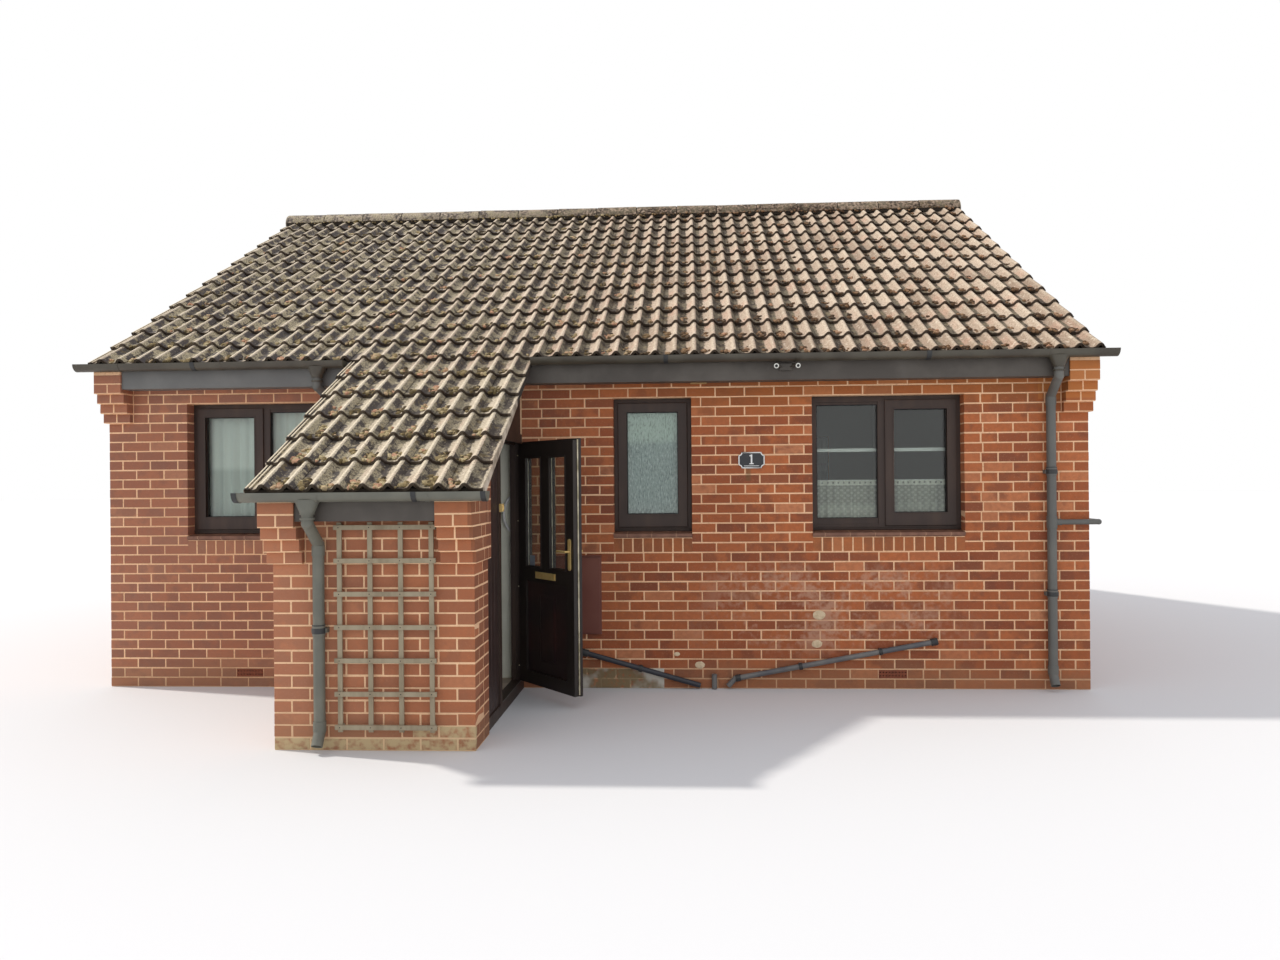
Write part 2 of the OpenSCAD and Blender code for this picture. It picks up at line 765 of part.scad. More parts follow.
// Half-round gutter with an outlet, brackets on the fascia between from_x and to_x, and stop ends,
// or with a union in place of the right (1) or left (-1) one
module gutter(x0, x1, line_out, rim, outlet_x, from_x, to_x, union_end = 0) {
    gy = front_y - line_out - gutter_out;
    bays = max(1, floor((to_x - from_x) / bracket_pitch));
    bay = (to_x - from_x - 2 * bracket_w) / bays;
    color(slate_grey) {
        difference() {
            union() {
                along_x(x0, x1) half_ring(gy, rim, gutter_r, inner_r);
                if (outlet_x != undef) gutter_outlet(outlet_x, gy, rim);
                for (k = [0 : bays]) {
                    bx = from_x + bracket_w / 2 + k * bay;
                    along_x(bx, bx + bracket_w) difference() {
                        union() {
                            half_disc(gy, rim, gutter_r + gutter_gap);
                            translate([gy, rim - 0.7 * gutter_r])
                                square([gutter_r + gutter_gap, 0.7 * gutter_r]);
                        }
                        translate([gy, rim]) circle(inner_r + eps);
                    }
                }
            }
            if (outlet_x != undef) translate([outlet_x, gy, rim - 2 * outlet_h - gutter_r])
                cylinder(h = 3 * outlet_h, r = pipe_r - 2);
        }
        for (x = [if (union_end >= 0) x0, if (union_end <= 0) x1 - gutter_wall])
            along_x(x, x + gutter_wall) half_disc(gy, rim, gutter_r);
    }
}

module gutter_left() {
    gutter(-roof_x - gutter_past, porch_roof_x0 - 20, 0, rim_z, pipe_left_x - left_pipe_run,
           -kneeler_x, porch_roof_x0 - outlet_l);
}

module gutter_right() {
    gutter(porch_roof_x1 + 2, roof_x + gutter_past, 0, rim_z, pipe_right_x, porch_roof_x1, kneeler_x);
}

module gutter_porch() {
    gutter(porch_roof_x0 - porch_gutter_past, porch_roof_x1 + porch_gutter_past, porch_d, porch_rim_z,
           pipe_porch_x, porch_kneeler_x0, porch_kneeler_x1);
}

// The two lengths of the rear gutter meet in a union behind the middle of the house
module gutter_rear_left() {
    rotate(180) gutter(0, roof_x + gutter_past, 0, rim_z, pipe_right_x, bracket_w / 2, kneeler_x, -1);
}

module gutter_rear_right() {
    rotate(180) gutter(-roof_x - gutter_past, 0, 0, rim_z, undef, -kneeler_x, -bracket_w / 2, 1);
}

// Downpipe with a swan neck from the outlet to the wall, sockets, wall clips and a shoe
module downpipe(outlet_x, x, line_out, rim, clips) {
    gy = front_y - line_out - gutter_out;
    py = front_y - line_out - pipe_off;
    top = rim - gutter_r - outlet_h;
    bend_z = line_z(line_out + fascia_out) - tail_drop - fascia_h - 8;
    neck_z = bend_z - neck_drop;
    shoe_bend_z = shoe_z + shoe_run[1] + 40;
    color(pipe_grey) difference() {
        union() {
            pipe_run([[outlet_x, gy, top], [outlet_x, gy, bend_z], [x, py, neck_z], [x, py, shoe_bend_z],
                      [x, py - shoe_run[0], shoe_bend_z - shoe_run[1]]], pipe_r);
            for (z = concat([neck_z - 70, shoe_bend_z], clips))
                translate([x, py, z]) cylinder(h = 60, r = pipe_r + socket_t);
            for (z = clips) translate([x - pipe_r - 12, py, z + 15]) cube([2 * pipe_r + 24, pipe_off, 28]);
        }
        rod([x, py - shoe_run[0] / 2, shoe_bend_z - shoe_run[1] / 2],
            [x, py - 2 * shoe_run[0], shoe_bend_z - 2 * shoe_run[1]], pipe_r - 3);
    }
}

module downpipe_left() {
    downpipe(pipe_left_x - left_pipe_run, pipe_left_x, 0, rim_z, clip_zs);
}

// The right downpipe takes a waste pipe that comes round the corner of the house
module downpipe_right() {
    wy = front_y - pipe_off;
    side_x = half_w + pipe_off;
    back_y = front_y + branch_back;
    downpipe(pipe_right_x, pipe_right_x, 0, rim_z, clip_zs);
    color(pipe_grey) {
        pipe_run([[pipe_right_x, wy, branch_z], [side_x, wy, branch_z],
                  [side_x, back_y, branch_z], [half_w, back_y, branch_z]], waste_r);
        translate([pipe_right_x, wy, branch_z - 45]) cylinder(h = 90, r = pipe_r + socket_t);
        translate([pipe_right_x, wy, branch_z]) rotate([0, 90, 0]) cylinder(h = 70, r = waste_r + socket_t);
    }
}

module downpipe_porch() {
    downpipe(pipe_porch_x, pipe_porch_x, porch_d, porch_rim_z, [clip_zs[0]]);
}

module downpipe_rear() {
    mirror([0, 1, 0]) downpipe(-pipe_right_x, -pipe_right_x, 0, rim_z, clip_zs);
}

// A rectangular ring that stands in a window opening, with its front at y
module ring(x, z, w, h, face, y, depth) {
    translate([x, y, z]) difference() {
        cube([w, depth, h]);
        translate([face, -eps, face]) cube([w - 2 * face, depth + 2 * eps, h - 2 * face]);
    }
}

// Timber window: outer frame, mullions at the places in splits, a fixed sash in each light, and
// over the lights marked in opening the face of a hinged sash that laps its frame
module window_frame(x, w, splits, opening) {
    edges = concat([0], splits, [w]);
    last = len(edges) - 2;
    z = frame_z + frame_face;
    h = frame_h - 2 * frame_face;
    color(dark_brown) {
        ring(x, frame_z, w, frame_h, frame_face, frame_y, frame_t);
        for (s = splits) translate([x + s - mullion_face / 2, frame_y, frame_z + eps])
            cube([mullion_face, frame_t, frame_h - 2 * eps]);
        for (k = [0 : last]) {
            a = x + edges[k] + (k == 0 ? frame_face : mullion_face / 2);
            b = x + edges[k + 1] - (k == last ? frame_face : mullion_face / 2);
            ring(a - eps, z - eps, b - a + 2 * eps, h + 2 * eps, sash_in + eps, frame_y + 8, frame_t - 16);
            if (opening[k]) ring(a - sash_lap, z - sash_lap, b - a + 2 * sash_lap, h + 2 * sash_lap,
                                 sash_face, frame_y - sash_proud, sash_proud + 20);
        }
    }
}

// Glass of one light of a window, between two places measured from the reveal at x
module pane(x, a, b, a_face, b_face) {
    z = frame_z + frame_face + sash_in;
    translate([x + a + a_face + sash_in, glass_y, z])
        cube([b - a - a_face - b_face - 2 * sash_in, glass_t, frame_h - 2 * (frame_face + sash_in)]);
}

module left_frame() { window_frame(win_a_x, wide_w, [light_w], [true, false]); }

module small_frame() { window_frame(win_b_x, small_w, [], [true]); }

module right_frame() { window_frame(win_c_x, wide_w, [wide_w - light_w], [false, true]); }

module window_left() { left_frame(); }

module window_small() { small_frame(); }

module window_right() { right_frame(); }

module rear_windows() {
    mirror([0, 1, 0]) {
        left_frame();
        small_frame();
        right_frame();
    }
}

module panes() {
    half_mullion = mullion_face / 2;
    color(glass_tint) {
        pane(win_a_x, 0, light_w, frame_face, half_mullion);
        pane(win_a_x, light_w, wide_w, half_mullion, frame_face);
        pane(win_b_x, 0, small_w, frame_face, frame_face);
        pane(win_c_x, 0, wide_w - light_w, frame_face, half_mullion);
        pane(win_c_x, wide_w - light_w, wide_w, half_mullion, frame_face);
    }
}

module front_glass() { panes(); }

module rear_glass() { mirror([0, 1, 0]) panes(); }

// Tile sill that falls to the front, in one with the level board behind it
module sill(x, w) {
    edge_z = frame_z - sill_fall;
    along_x(x, x + w) polygon([
        [front_y, sill_z], [front_y + wall_t, sill_z], [front_y + wall_t, frame_z], [frame_y, frame_z],
        [front_y - sill_out, edge_z], [front_y - sill_out, edge_z - sill_edge], [front_y, edge_z - sill_edge]
    ]);
}

module sills() {
    color(red_brown) {
        sill(win_a_x, wide_w);
        sill(win_b_x, small_w);
        sill(win_c_x, wide_w);
    }
}

module front_sills() { sills(); }

module rear_sills() { mirror([0, 1, 0]) sills(); }

// Frame of the front door: threshold, jambs, the head under the roof slope, and the stop inside
module door_frame() {
    stop_t = leaf_in_x - leaf_gap - door_x0;
    jamb_z = floor_z - eps;
    jamb_h = door_head_z - floor_z + 2 * eps;
    color(dark_brown) {
        translate([door_x0, return_y, 0]) cube([jamb_d, front_y - return_y, floor_z]);
        for (y = [near_jamb_y - jamb_face, far_jamb_y])
            translate([door_x0, y, jamb_z]) cube([jamb_d, jamb_face, jamb_h]);
        along_x(door_x0, door_x1) intersection() {
            translate([return_y, door_head_z]) square([front_y - return_y, jamb_face]);
            wall_section(return_y, front_y);
        }
        for (y = [near_jamb_y - eps, far_jamb_y - stop_w])
            translate([door_x0, y, jamb_z]) cube([stop_t, stop_w + eps, jamb_h]);
        translate([door_x0, near_jamb_y, door_head_z - stop_w])
            cube([stop_t, far_jamb_y - near_jamb_y, stop_w + eps]);
    }
}

// Boarded panel between the brick return and the near jamb, grooved down its face
module side_panel() {
    y0 = return_y;
    y1 = near_jamb_y - jamb_face;
    boards = 4;
    board = (y1 - y0) / boards;
    groove = 7;
    color(red_brown) difference() {
        along_x(panel_x0, panel_x1) intersection() {
            translate([y0, floor_z]) square([y1 - y0, door_head_z - floor_z]);
            wall_section(y0, y1);
        }
        for (k = [1 : boards - 1]) translate([panel_x1, y0 + k * board, 0]) rotate([0, 0, 45])
            translate([-groove / 2, -groove / 2, 0]) cube([groove, groove, apex_z]);
    }
}

// Flat panel that fills the triangle between the door head and the roof
module spandrel_panel() {
    color(red_brown) along_x(panel_x0, panel_x1) intersection() {
        translate([return_y, door_head_z + jamb_face]) square([front_y - return_y, apex_z]);
        wall_section(return_y, front_y);
    }
}

// Puts a piece of the leaf, drawn with the door closed, where the door stands
module opened() {
    translate([hinge_x, hinge_y, 0]) rotate([0, 0, open_deg]) translate([-hinge_x, -hinge_y, 0]) children();
}

// Places children on both faces of the leaf: their own +X points away from the leaf
module both_faces(y, z) {
    for (s = [0, 1]) translate([leaf_mid_x, y, z]) mirror([s, 0, 0])
        translate([leaf_full_t / 2, 0, 0]) children();
}

// Leaf: stiles and rails that close into the frame, with an outer flange that laps it
module door_leaf() {
    rim = leaf_gap + flange_lap;
    through = leaf_full_t + 2 * eps;
    color(dark_brown) opened() difference() {
        union() {
            translate([leaf_in_x, leaf_y0, leaf_z]) cube([leaf_t + eps, leaf_w, leaf_h]);
            translate([flange_x, leaf_y0 - rim, leaf_z]) cube([flange_t, leaf_w + 2 * rim, leaf_h + rim]);
        }
        for (k = [0, 1])
            translate([leaf_in_x - eps, leaf_y0 + stile_w + k * (light_clear + muntin_w), light_low])
                cube([through, light_clear, light_high - light_low]);
        translate([leaf_in_x - eps, leaf_y0 + stile_w, panel_low])
            cube([through, leaf_w - 2 * stile_w, panel_h]);
    }
}

module door_lights() {
    color(glass_tint) opened() for (k = [0, 1])
        translate([leaf_mid_x - light_t / 2, leaf_y0 + stile_w + k * (light_clear + muntin_w), light_low])
            cube([light_t, light_clear, light_high - light_low]);
}

// Outline of the raised field across a width, standing up from the panel face
module field_outline(w) {
    polygon([[0, -w / 2], [0, w / 2], [field_rise + eps, w / 2 - field_bevel],
             [field_rise + eps, field_bevel - w / 2]]);
}

// Panel with a raised and bevelled field on both faces
module door_panel() {
    zc = panel_low + panel_h / 2;
    color(dark_brown) opened() {
        translate([leaf_mid_x - light_t / 2, leaf_y0 + stile_w, panel_low])
            cube([light_t, leaf_w - 2 * stile_w, panel_h]);
        for (s = [0, 1]) translate([leaf_mid_x, leaf_mid_y, zc]) mirror([s, 0, 0])
            translate([light_t / 2 - eps, 0, 0]) intersection() {
                translate([0, 0, -field_h / 2]) linear_extrude(field_h) field_outline(field_w);
                translate([0, -field_w / 2, 0]) rotate([-90, 0, 0]) linear_extrude(field_w)
                    field_outline(field_h);
            }
    }
}

// Long plates with round ends on both faces, with a lever each
module door_handles() {
    plate_t = 8;
    lever_r = 8;
    end_r = handle_w / 2;
    lever_z = handle_h * 0.6;
    color(brass) opened() both_faces(handle_y, handle_z) {
        translate([0, -end_r, end_r]) cube([plate_t, handle_w, handle_h - handle_w]);
        for (z = [end_r, handle_h - end_r])
            translate([0, 0, z]) rotate([0, 90, 0]) cylinder(h = plate_t, r = end_r, $fn = slim_fn);
        pipe_run([[plate_t - eps, 0, lever_z], [handle_out - lever_r, 0, lever_z],
                  [handle_out - lever_r, lever_l, lever_z]], lever_r);
    }
}

// Plate and flap of the letter opening on both faces of the lock rail
module letter_plate() {
    plate_t = 4;
    flap_t = 3;
    color(brass) opened() both_faces(leaf_mid_y, lock_z) {
        translate([0, -letter_w / 2, -letter_h / 2]) cube([plate_t, letter_w, letter_h]);
        translate([plate_t - eps, -letter_w / 2 + 9, -letter_h / 2 + 8])
            cube([flap_t + eps, letter_w - 18, letter_h - 16]);
    }
}

// Three knuckles run up each hinge: frame, leaf, frame. The pin is fast in the frame knuckles.
module hinge_frame_halves() {
    third = hinge_h / 3;
    web_y = hinge_y + 2;
    color(brass) for (z = hinge_levels) translate([0, 0, z - hinge_h / 2]) {
        translate([hinge_x, hinge_y, 0]) cylinder(h = hinge_h, r = pin_r, $fn = slim_fn);
        for (k = [0, 2]) translate([0, 0, k * third]) {
            translate([hinge_x, hinge_y, 0]) cylinder(h = third - 0.5, r = knuckle_r, $fn = slim_fn);
            translate([door_x1, web_y, 0]) cube([hinge_x - door_x1, 5, third - 0.5]);
        }
        translate([door_x1, web_y, 0]) cube([hinge_plate_t, 34, hinge_h]);
    }
}

module hinge_leaf_halves() {
    third = hinge_h / 3;
    color(brass) opened() for (z = hinge_levels) translate([0, 0, z - hinge_h / 2 + third + 0.5]) difference() {
        union() {
            translate([hinge_x, hinge_y, 0]) cylinder(h = third - 1.5, r = knuckle_r, $fn = slim_fn);
            translate([leaf_out_x, hinge_y - 46, 0]) cube([hinge_plate_t, 46, third - 1.5]);
        }
        translate([hinge_x, hinge_y, -eps]) cylinder(h = hinge_h, r = pin_r + pin_gap, $fn = slim_fn);
    }
}

// Trellis of crossed laths on four blocks
module trellis() {
    x0 = porch_x0 + trellis_in;
    run_x = (trellis_uprights - 1) * trellis_pitch_x;
    run_z = (trellis_rails - 1) * trellis_pitch_z;
    back = porch_y - trellis_off;
    half_bar = trellis_bar / 2;
    color(old_timber) {
        for (k = [0 : trellis_uprights - 1])
            translate([x0 + k * trellis_pitch_x - half_bar, back - trellis_t, trellis_low - trellis_past])
                cube([trellis_bar, trellis_t, run_z + 2 * trellis_past]);
        for (k = [0 : trellis_rails - 1])
            translate([x0 - trellis_past, back - 2 * trellis_t, trellis_low + k * trellis_pitch_z - half_bar])
                cube([run_x + 2 * trellis_past, trellis_t + eps, trellis_bar]);
        for (k = [0, trellis_uprights - 1], z = [trellis_low, trellis_low + run_z])
            translate([x0 + k * trellis_pitch_x - half_bar, back - eps, z - half_bar])
                cube([trellis_bar, trellis_off + eps, trellis_bar]);
    }
}

// Meter box: shallow case with a door on its face
module meter_box() {
    rim = 12;
    color(red_brown) translate([porch_x1 + meter_in, front_y - meter_out, meter_z]) {
        translate([0, meter_door_t, 0]) cube([meter_w, meter_out - meter_door_t, meter_h]);
        translate([rim, 0, rim]) cube([meter_w - 2 * rim, meter_door_t + eps, meter_h - 2 * rim]);
    }
}

// House number plaque: plate with hollowed corners
module number_plaque() {
    hollow = 24;
    color(dark_brown) translate([win_b_x + small_w + plaque_in, front_y, head_z - 492])
        rotate([90, 0, 0]) linear_extrude(plaque_t) difference() {
            square([plaque_w, plaque_h], center = true);
            for (sx = [-1, 1], sz = [-1, 1]) translate([sx * plaque_w / 2, sz * plaque_h / 2]) circle(hollow);
        }
}

// Twin lamp on the fascia, its small heads turned out under the gutter
module eaves_lamp() {
    xc = win_c_x - 211;
    y = front_y - fascia_out;
    z = rim_z - gutter_r - 37;
    color(chalk) {
        translate([xc - 45, y - 22, z - 25]) cube([90, 22, 50]);
        for (s = [-1, 1]) {
            rod([xc + s * 30, y - 12, z], [xc + s * 66, y - 50, z + 8], 7);
            rod([xc + s * 62, y - 42, z + 10], [xc + s * 79, y - 118, z - 2], lamp_r);
        }
    }
}

// A waste pipe on the wall through points in X and Z; boss turns its start into the wall
module waste_run(points, clips, boss) {
    y = front_y - waste_r - waste_gap;
    run = [for (p = points) [p[0], y, p[1]]];
    pipe_run(boss ? concat([[points[0][0], front_y, points[0][1]]], run) : run, waste_r);
    for (c = clips) translate([c[0] - 12, y, c[1] - waste_r - 4])
        cube([24, waste_r + waste_gap, 2 * waste_r + 8]);
}

// Point that divides the way from a to b by the share t
function between(a, b, t) = a + t * (b - a);

module waste_pipes() {
    x = half_w - gully_from_right * across;
    long_top = [x + waste_long_run, waste_long_z];
    long_foot = [x + 159, 82];
    short_top = [x - waste_short_run, waste_short_z];
    short_foot = [x - 107, 28];
    color(pipe_grey) {
        waste_run([long_top, long_foot, [x + 105, 24]],
                  [between(long_top, long_foot, 0.27), between(long_top, long_foot, 0.67)], true);
        waste_run([short_top, short_foot], [between(short_top, short_foot, 0.49)], true);
        waste_run([[x, 2], [x, 115]], [[x, 60]], false);
    }
}

// Clay air bricks with two rows of square holes
module air_bricks() {
    hole = 9;
    columns = 9;
    color(clay) for (m = [0, 1]) mirror([0, m, 0]) for (x = air_brick_xs)
        translate([x, front_y, air_brick_z]) difference() {
            cube([brick_l, air_brick_t, air_brick_h]);
            for (c = [0 : columns - 1], level = [0.3, 0.7])
                translate([(c + 0.5) * brick_l / columns - hole / 2, -eps, air_brick_h * level - hole / 2])
                    cube([hole, air_brick_t / 2, hole]);
        }
}

// Bow-shaped grab rail on the inner face of the far jamb, with round fixing plates
module grab_rail() {
    bow = (pow(rail_l / 2, 2) + pow(rail_reach, 2)) / (2 * rail_reach);
    turn = asin(rail_l / 2 / bow) + 6;
    y = far_jamb_y + jamb_face / 2;
    zc = floor_z + rail_z;
    color(chalk) difference() {
        union() {
            translate([door_x0 + bow - rail_reach, y, zc]) rotate([90, 0, 0]) rotate([0, 0, 180 - turn])
                rotate_extrude(angle = 2 * turn) translate([bow, 0]) circle(rail_dia / 2);
            for (s = [-1, 1]) translate([door_x0 - 5, y, zc + s * (rail_l / 2 - 8)]) rotate([0, 90, 0])
                cylinder(h = 5, r = 18, $fn = slim_fn);
        }
        translate([door_x0, y - 100, zc - rail_l]) cube([200, 200, 2 * rail_l]);
    }
}

floor_slab();
porch_floor();
front_wall_left();
front_wall_right();
wall_over_hall();
gable_wall_left();
gable_wall_right();
rear_wall();
porch_front_wall();
porch_side_wall();
porch_return();
porch_lining();
roof_front();
roof_rear();
roof_porch();
ridge_tiles();
verge_undercloaks();
fascia_left();
fascia_right();
fascia_porch();
fascia_rear();
gutter_left();
gutter_right();
gutter_porch();
gutter_rear_left();
gutter_rear_right();
downpipe_left();
downpipe_right();
downpipe_porch();
downpipe_rear();
window_left();
window_small();
window_right();
rear_windows();
front_glass();
rear_glass();
front_sills();
rear_sills();
door_frame();
side_panel();
spandrel_panel();
hinge_frame_halves();
door_leaf();
door_lights();
door_panel();
door_handles();
letter_plate();
hinge_leaf_halves();
trellis();
meter_box();
number_plaque();
eaves_lamp();
waste_pipes();
air_bricks();
grab_rail();
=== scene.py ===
"""Looks of the bungalow: brickwork, pantiles, windows, door and fittings on the CAD model's frame."""
import logging
import math
from collections.abc import Callable, Iterable, Iterator
from contextlib import contextmanager
from dataclasses import dataclass, field
from enum import Enum
from functools import cache

import bpy
import numpy as np
from bpy.types import ColorRamp, Material, NodeSocket, NodeTree, Object
from mathutils import Matrix, Vector


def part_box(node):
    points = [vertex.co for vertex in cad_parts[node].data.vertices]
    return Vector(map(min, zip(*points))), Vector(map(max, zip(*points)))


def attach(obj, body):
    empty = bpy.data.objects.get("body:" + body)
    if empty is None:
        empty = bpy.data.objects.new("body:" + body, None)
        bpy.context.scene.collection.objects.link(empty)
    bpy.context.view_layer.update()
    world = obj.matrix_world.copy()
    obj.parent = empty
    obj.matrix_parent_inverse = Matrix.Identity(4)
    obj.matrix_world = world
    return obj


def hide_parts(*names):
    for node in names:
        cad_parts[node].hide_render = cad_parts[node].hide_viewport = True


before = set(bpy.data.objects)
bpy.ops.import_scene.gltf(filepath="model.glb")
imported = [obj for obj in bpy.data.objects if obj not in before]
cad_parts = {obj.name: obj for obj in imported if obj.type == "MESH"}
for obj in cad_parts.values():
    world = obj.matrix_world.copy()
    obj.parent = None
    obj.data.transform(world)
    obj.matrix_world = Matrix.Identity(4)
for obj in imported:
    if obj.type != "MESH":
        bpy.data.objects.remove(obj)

Point = tuple[float, float, float]
Span = tuple[float, float]
Colour = tuple[int, int, int]

LOG = logging.getLogger("bungalow")
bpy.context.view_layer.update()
HOUSE, DOOR = "house", "front_door"
MM = 0.001

# Half the width and half the depth over the walls, and the height of the tile line above the front wall
WALL_X, WALL_Y, TILE_LINE = 3.82, 3.54, 2.667

# Pitch of every slope, and the height of the two main slopes where they meet
PITCH = math.radians(30)
COS_PITCH, SIN_PITCH, TAN_PITCH = math.cos(PITCH), math.sin(PITCH), math.tan(PITCH)
APEX = TILE_LINE + WALL_Y * TAN_PITCH

# A brick with its joint, how far it stands proud of the mortar, and a limit past every wall
COURSE, JOINT, STRETCHER, HEADER = 0.075, 0.010, 0.215, 0.1025
PROUD = 0.0014
BEYOND = 9.0


# Workbench


def rgb(red: int, green: int, blue: int) -> tuple[float, float, float, float]:
    """Turn a screen colour into linear light.

    Args:
        red: Its red, 0 to 255.
        green: Its green.
        blue: Its blue.

    Returns:
        Red, green and blue of 0 to 1, and 1 for the alpha.
    """
    def linear(value: int) -> float:
        """Return one channel as linear light."""
        part = value / 255
        return part / 12.92 if part <= 0.04045 else ((part + 0.055) / 1.055) ** 2.4
    return linear(red), linear(green), linear(blue), 1.0


def ordered(first: float, second: float) -> Span:
    """Return two values with the lower one first."""
    return min(first, second), max(first, second)


def deselect() -> None:
    """Leave nothing selected."""
    bpy.ops.object.select_all(action="DESELECT")


def pick(obj: Object) -> None:
    """Make one object the only selected and active one.

    Args:
        obj: The object.
    """
    deselect()
    obj.select_set(True)
    bpy.context.view_layer.objects.active = obj


def primitive(operator: Callable[..., set[str]], **settings: object) -> Object:
    """Add a primitive with nothing else selected.

    Args:
        operator: The operator that adds it.
        settings: The operator's settings by name.

    Returns:
        The new object.
    """
    deselect()
    operator(**settings)
    return bpy.context.object


def settle(obj: Object, name: str) -> Object:
    """Name an object and put its place into its mesh.

    Args:
        obj: The object.
        name: Its new name.

    Returns:
        The same object, at the origin, unturned and unscaled.
    """
    pick(obj)
    bpy.ops.object.transform_apply(location=True, rotation=True, scale=True)
    obj.name = obj.data.name = name
    return obj


@contextmanager
def editing(obj: Object, kind: str = "FACE", whole: bool = False) -> Iterator[None]:
    """Hold an object in edit mode.

    Args:
        obj: The object.
        kind: What is selected there, VERT, EDGE or FACE.
        whole: Whether all of it is selected first.
    """
    pick(obj)
    bpy.ops.object.mode_set(mode="EDIT")
    bpy.ops.mesh.select_mode(type=kind)
    if whole:
        select_all()
    yield
    bpy.ops.object.mode_set(mode="OBJECT")


def select_all() -> None:
    """Select all of the mesh that is in edit mode."""
    bpy.ops.mesh.select_all(action="SELECT")


def extrude(step: Iterable[float]) -> None:
    """Extrude what is selected in edit mode by a step."""
    bpy.ops.mesh.extrude_region_move(TRANSFORM_OT_translate={"value": step})


def choose(obj: Object, kind: str, test: Callable[[Vector, Vector], bool]) -> None:
    """Select the parts of a mesh that pass a test of place and direction.

    Args:
        obj: The object, in object mode.
        kind: VERT, EDGE or FACE.
        test: Takes a corner's place or a face's centre with its normal, or an edge's middle and direction.
    """
    mesh = obj.data
    for group in (mesh.vertices, mesh.edges, mesh.polygons):
        group.foreach_set("select", [False] * len(group))
    for corner in mesh.vertices if kind == "VERT" else ():
        corner.select = test(corner.co, corner.normal)
    for edge in mesh.edges if kind == "EDGE" else ():
        start, end = (mesh.vertices[i].co for i in edge.vertices)
        edge.select = test((start + end) / 2, (end - start).normalized())
    for face in mesh.polygons if kind == "FACE" else ():
        face.select = test(face.center, face.normal)


def add_box(name: str, low: Iterable[float], high: Iterable[float], bevel: float = 0.0,
            segments: int = 1) -> Object:
    """Add a box between two opposite corners, with broken edges.

    Args:
        name: The object's name.
        low: One corner.
        high: The opposite corner.
        bevel: Width of the broken edges, 0 for none.
        segments: Facets over each broken edge.

    Returns:
        The box.
    """
    low, high = Vector(map(min, low, high)), Vector(map(max, low, high))
    obj = primitive(bpy.ops.mesh.primitive_cube_add, size=1.0, location=(low + high) / 2)
    obj.scale = high - low
    settle(obj, name)
    if bevel:
        with editing(obj, "EDGE", whole=True):
            bpy.ops.mesh.bevel(offset=bevel, segments=segments, affect="EDGES")
    return obj


def add_rod(name: str, start: Point, end: Point, radius: float, sides: int = 16,
            bevel: float = 0.0) -> Object:
    """Add a round bar between two points.

    Args:
        name: The object's name.
        start: Middle of one end.
        end: Middle of the other end.
        radius: Radius of the bar.
        sides: Facets round it.
        bevel: Width of the broken end edges, 0 for none.

    Returns:
        The bar.
    """
    start, end = Vector(start), Vector(end)
    axis = end - start
    rod = primitive(bpy.ops.mesh.primitive_cylinder_add, vertices=sides, radius=radius, depth=axis.length,
                    location=(start + end) / 2, rotation=axis.to_track_quat("Z", "Y").to_euler())
    settle(rod, name)
    if bevel:
        unit = axis.normalized()
        choose(rod, "EDGE", lambda middle, way: abs(way.dot(unit)) < 0.5)
        with editing(rod, "EDGE"):
            bpy.ops.mesh.bevel(offset=bevel, segments=2, affect="EDGES")
    return rod


def join(name: str, pieces: list[Object]) -> Object:
    """Join objects into one.

    Args:
        name: Name of the joined object.
        pieces: The objects, which it uses up.

    Returns:
        The joined object.
    """
    pick(pieces[0])
    for piece in pieces:
        piece.select_set(True)
    if len(pieces) > 1:
        bpy.ops.object.join()
    pieces[0].name = pieces[0].data.name = name
    return pieces[0]


def smooth(obj: Object, angle: float = 40.0) -> None:
    """Shade an object smoothly across edges flatter than an angle in degrees."""
    pick(obj)
    bpy.ops.object.shade_smooth_by_angle(angle=math.radians(angle))


def apply_modifier(obj: Object, kind: str, **settings: object) -> None:
    """Add a modifier to an object and apply it.

    Args:
        obj: The object.
        kind: The modifier's type.
        settings: Its settings by name.
    """
    pick(obj)
    modifier = obj.modifiers.new(kind.title(), kind)
    for name, value in settings.items():
        setattr(modifier, name, value)
    bpy.ops.object.modifier_apply(modifier=modifier.name)


def face_out(obj: Object) -> None:
    """Turn every face of a closed mesh outwards."""
    with editing(obj, whole=True):
        bpy.ops.mesh.normals_make_consistent(inside=False)


def cut(obj: Object, place: Point, away: Point) -> None:
    """Cut an object with a plane, close the cut and drop the far side.

    Args:
        obj: The object.
        place: A point of the plane.
        away: The plane's normal, towards the side that goes.
    """
    with editing(obj, whole=True):
        bpy.ops.mesh.bisect(plane_co=place, plane_no=away, use_fill=True, clear_outer=True)


def node_copy(node: str, name: str) -> Object:
    """Copy a CAD node's mesh, with its loose triangles joined up.

    Args:
        node: The CAD node.
        name: Name of the copy.

    Returns:
        The copy.
    """
    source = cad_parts[node]
    obj = bpy.data.objects.new(name, source.data.copy())
    bpy.context.scene.collection.objects.link(obj)
    with editing(obj, whole=True):
        bpy.ops.mesh.remove_doubles(threshold=0.01 * MM)
    return obj


@dataclass
class Pattern:
    """One modelled shape as arrays, ready to be copied."""
    points: np.ndarray
    faces: list[tuple[int, ...]]

    @classmethod
    def taken_from(cls, obj: Object) -> "Pattern":
        """Read the shape of an object and remove the object.

        Args:
            obj: The modelled object.

        Returns:
            Its points and faces.
        """
        mesh = obj.data
        points = np.empty(len(mesh.vertices) * 3)
        mesh.vertices.foreach_get("co", points)
        faces = [tuple(face.vertices) for face in mesh.polygons]
        bpy.data.objects.remove(obj)
        return cls(points.reshape(-1, 3), faces)


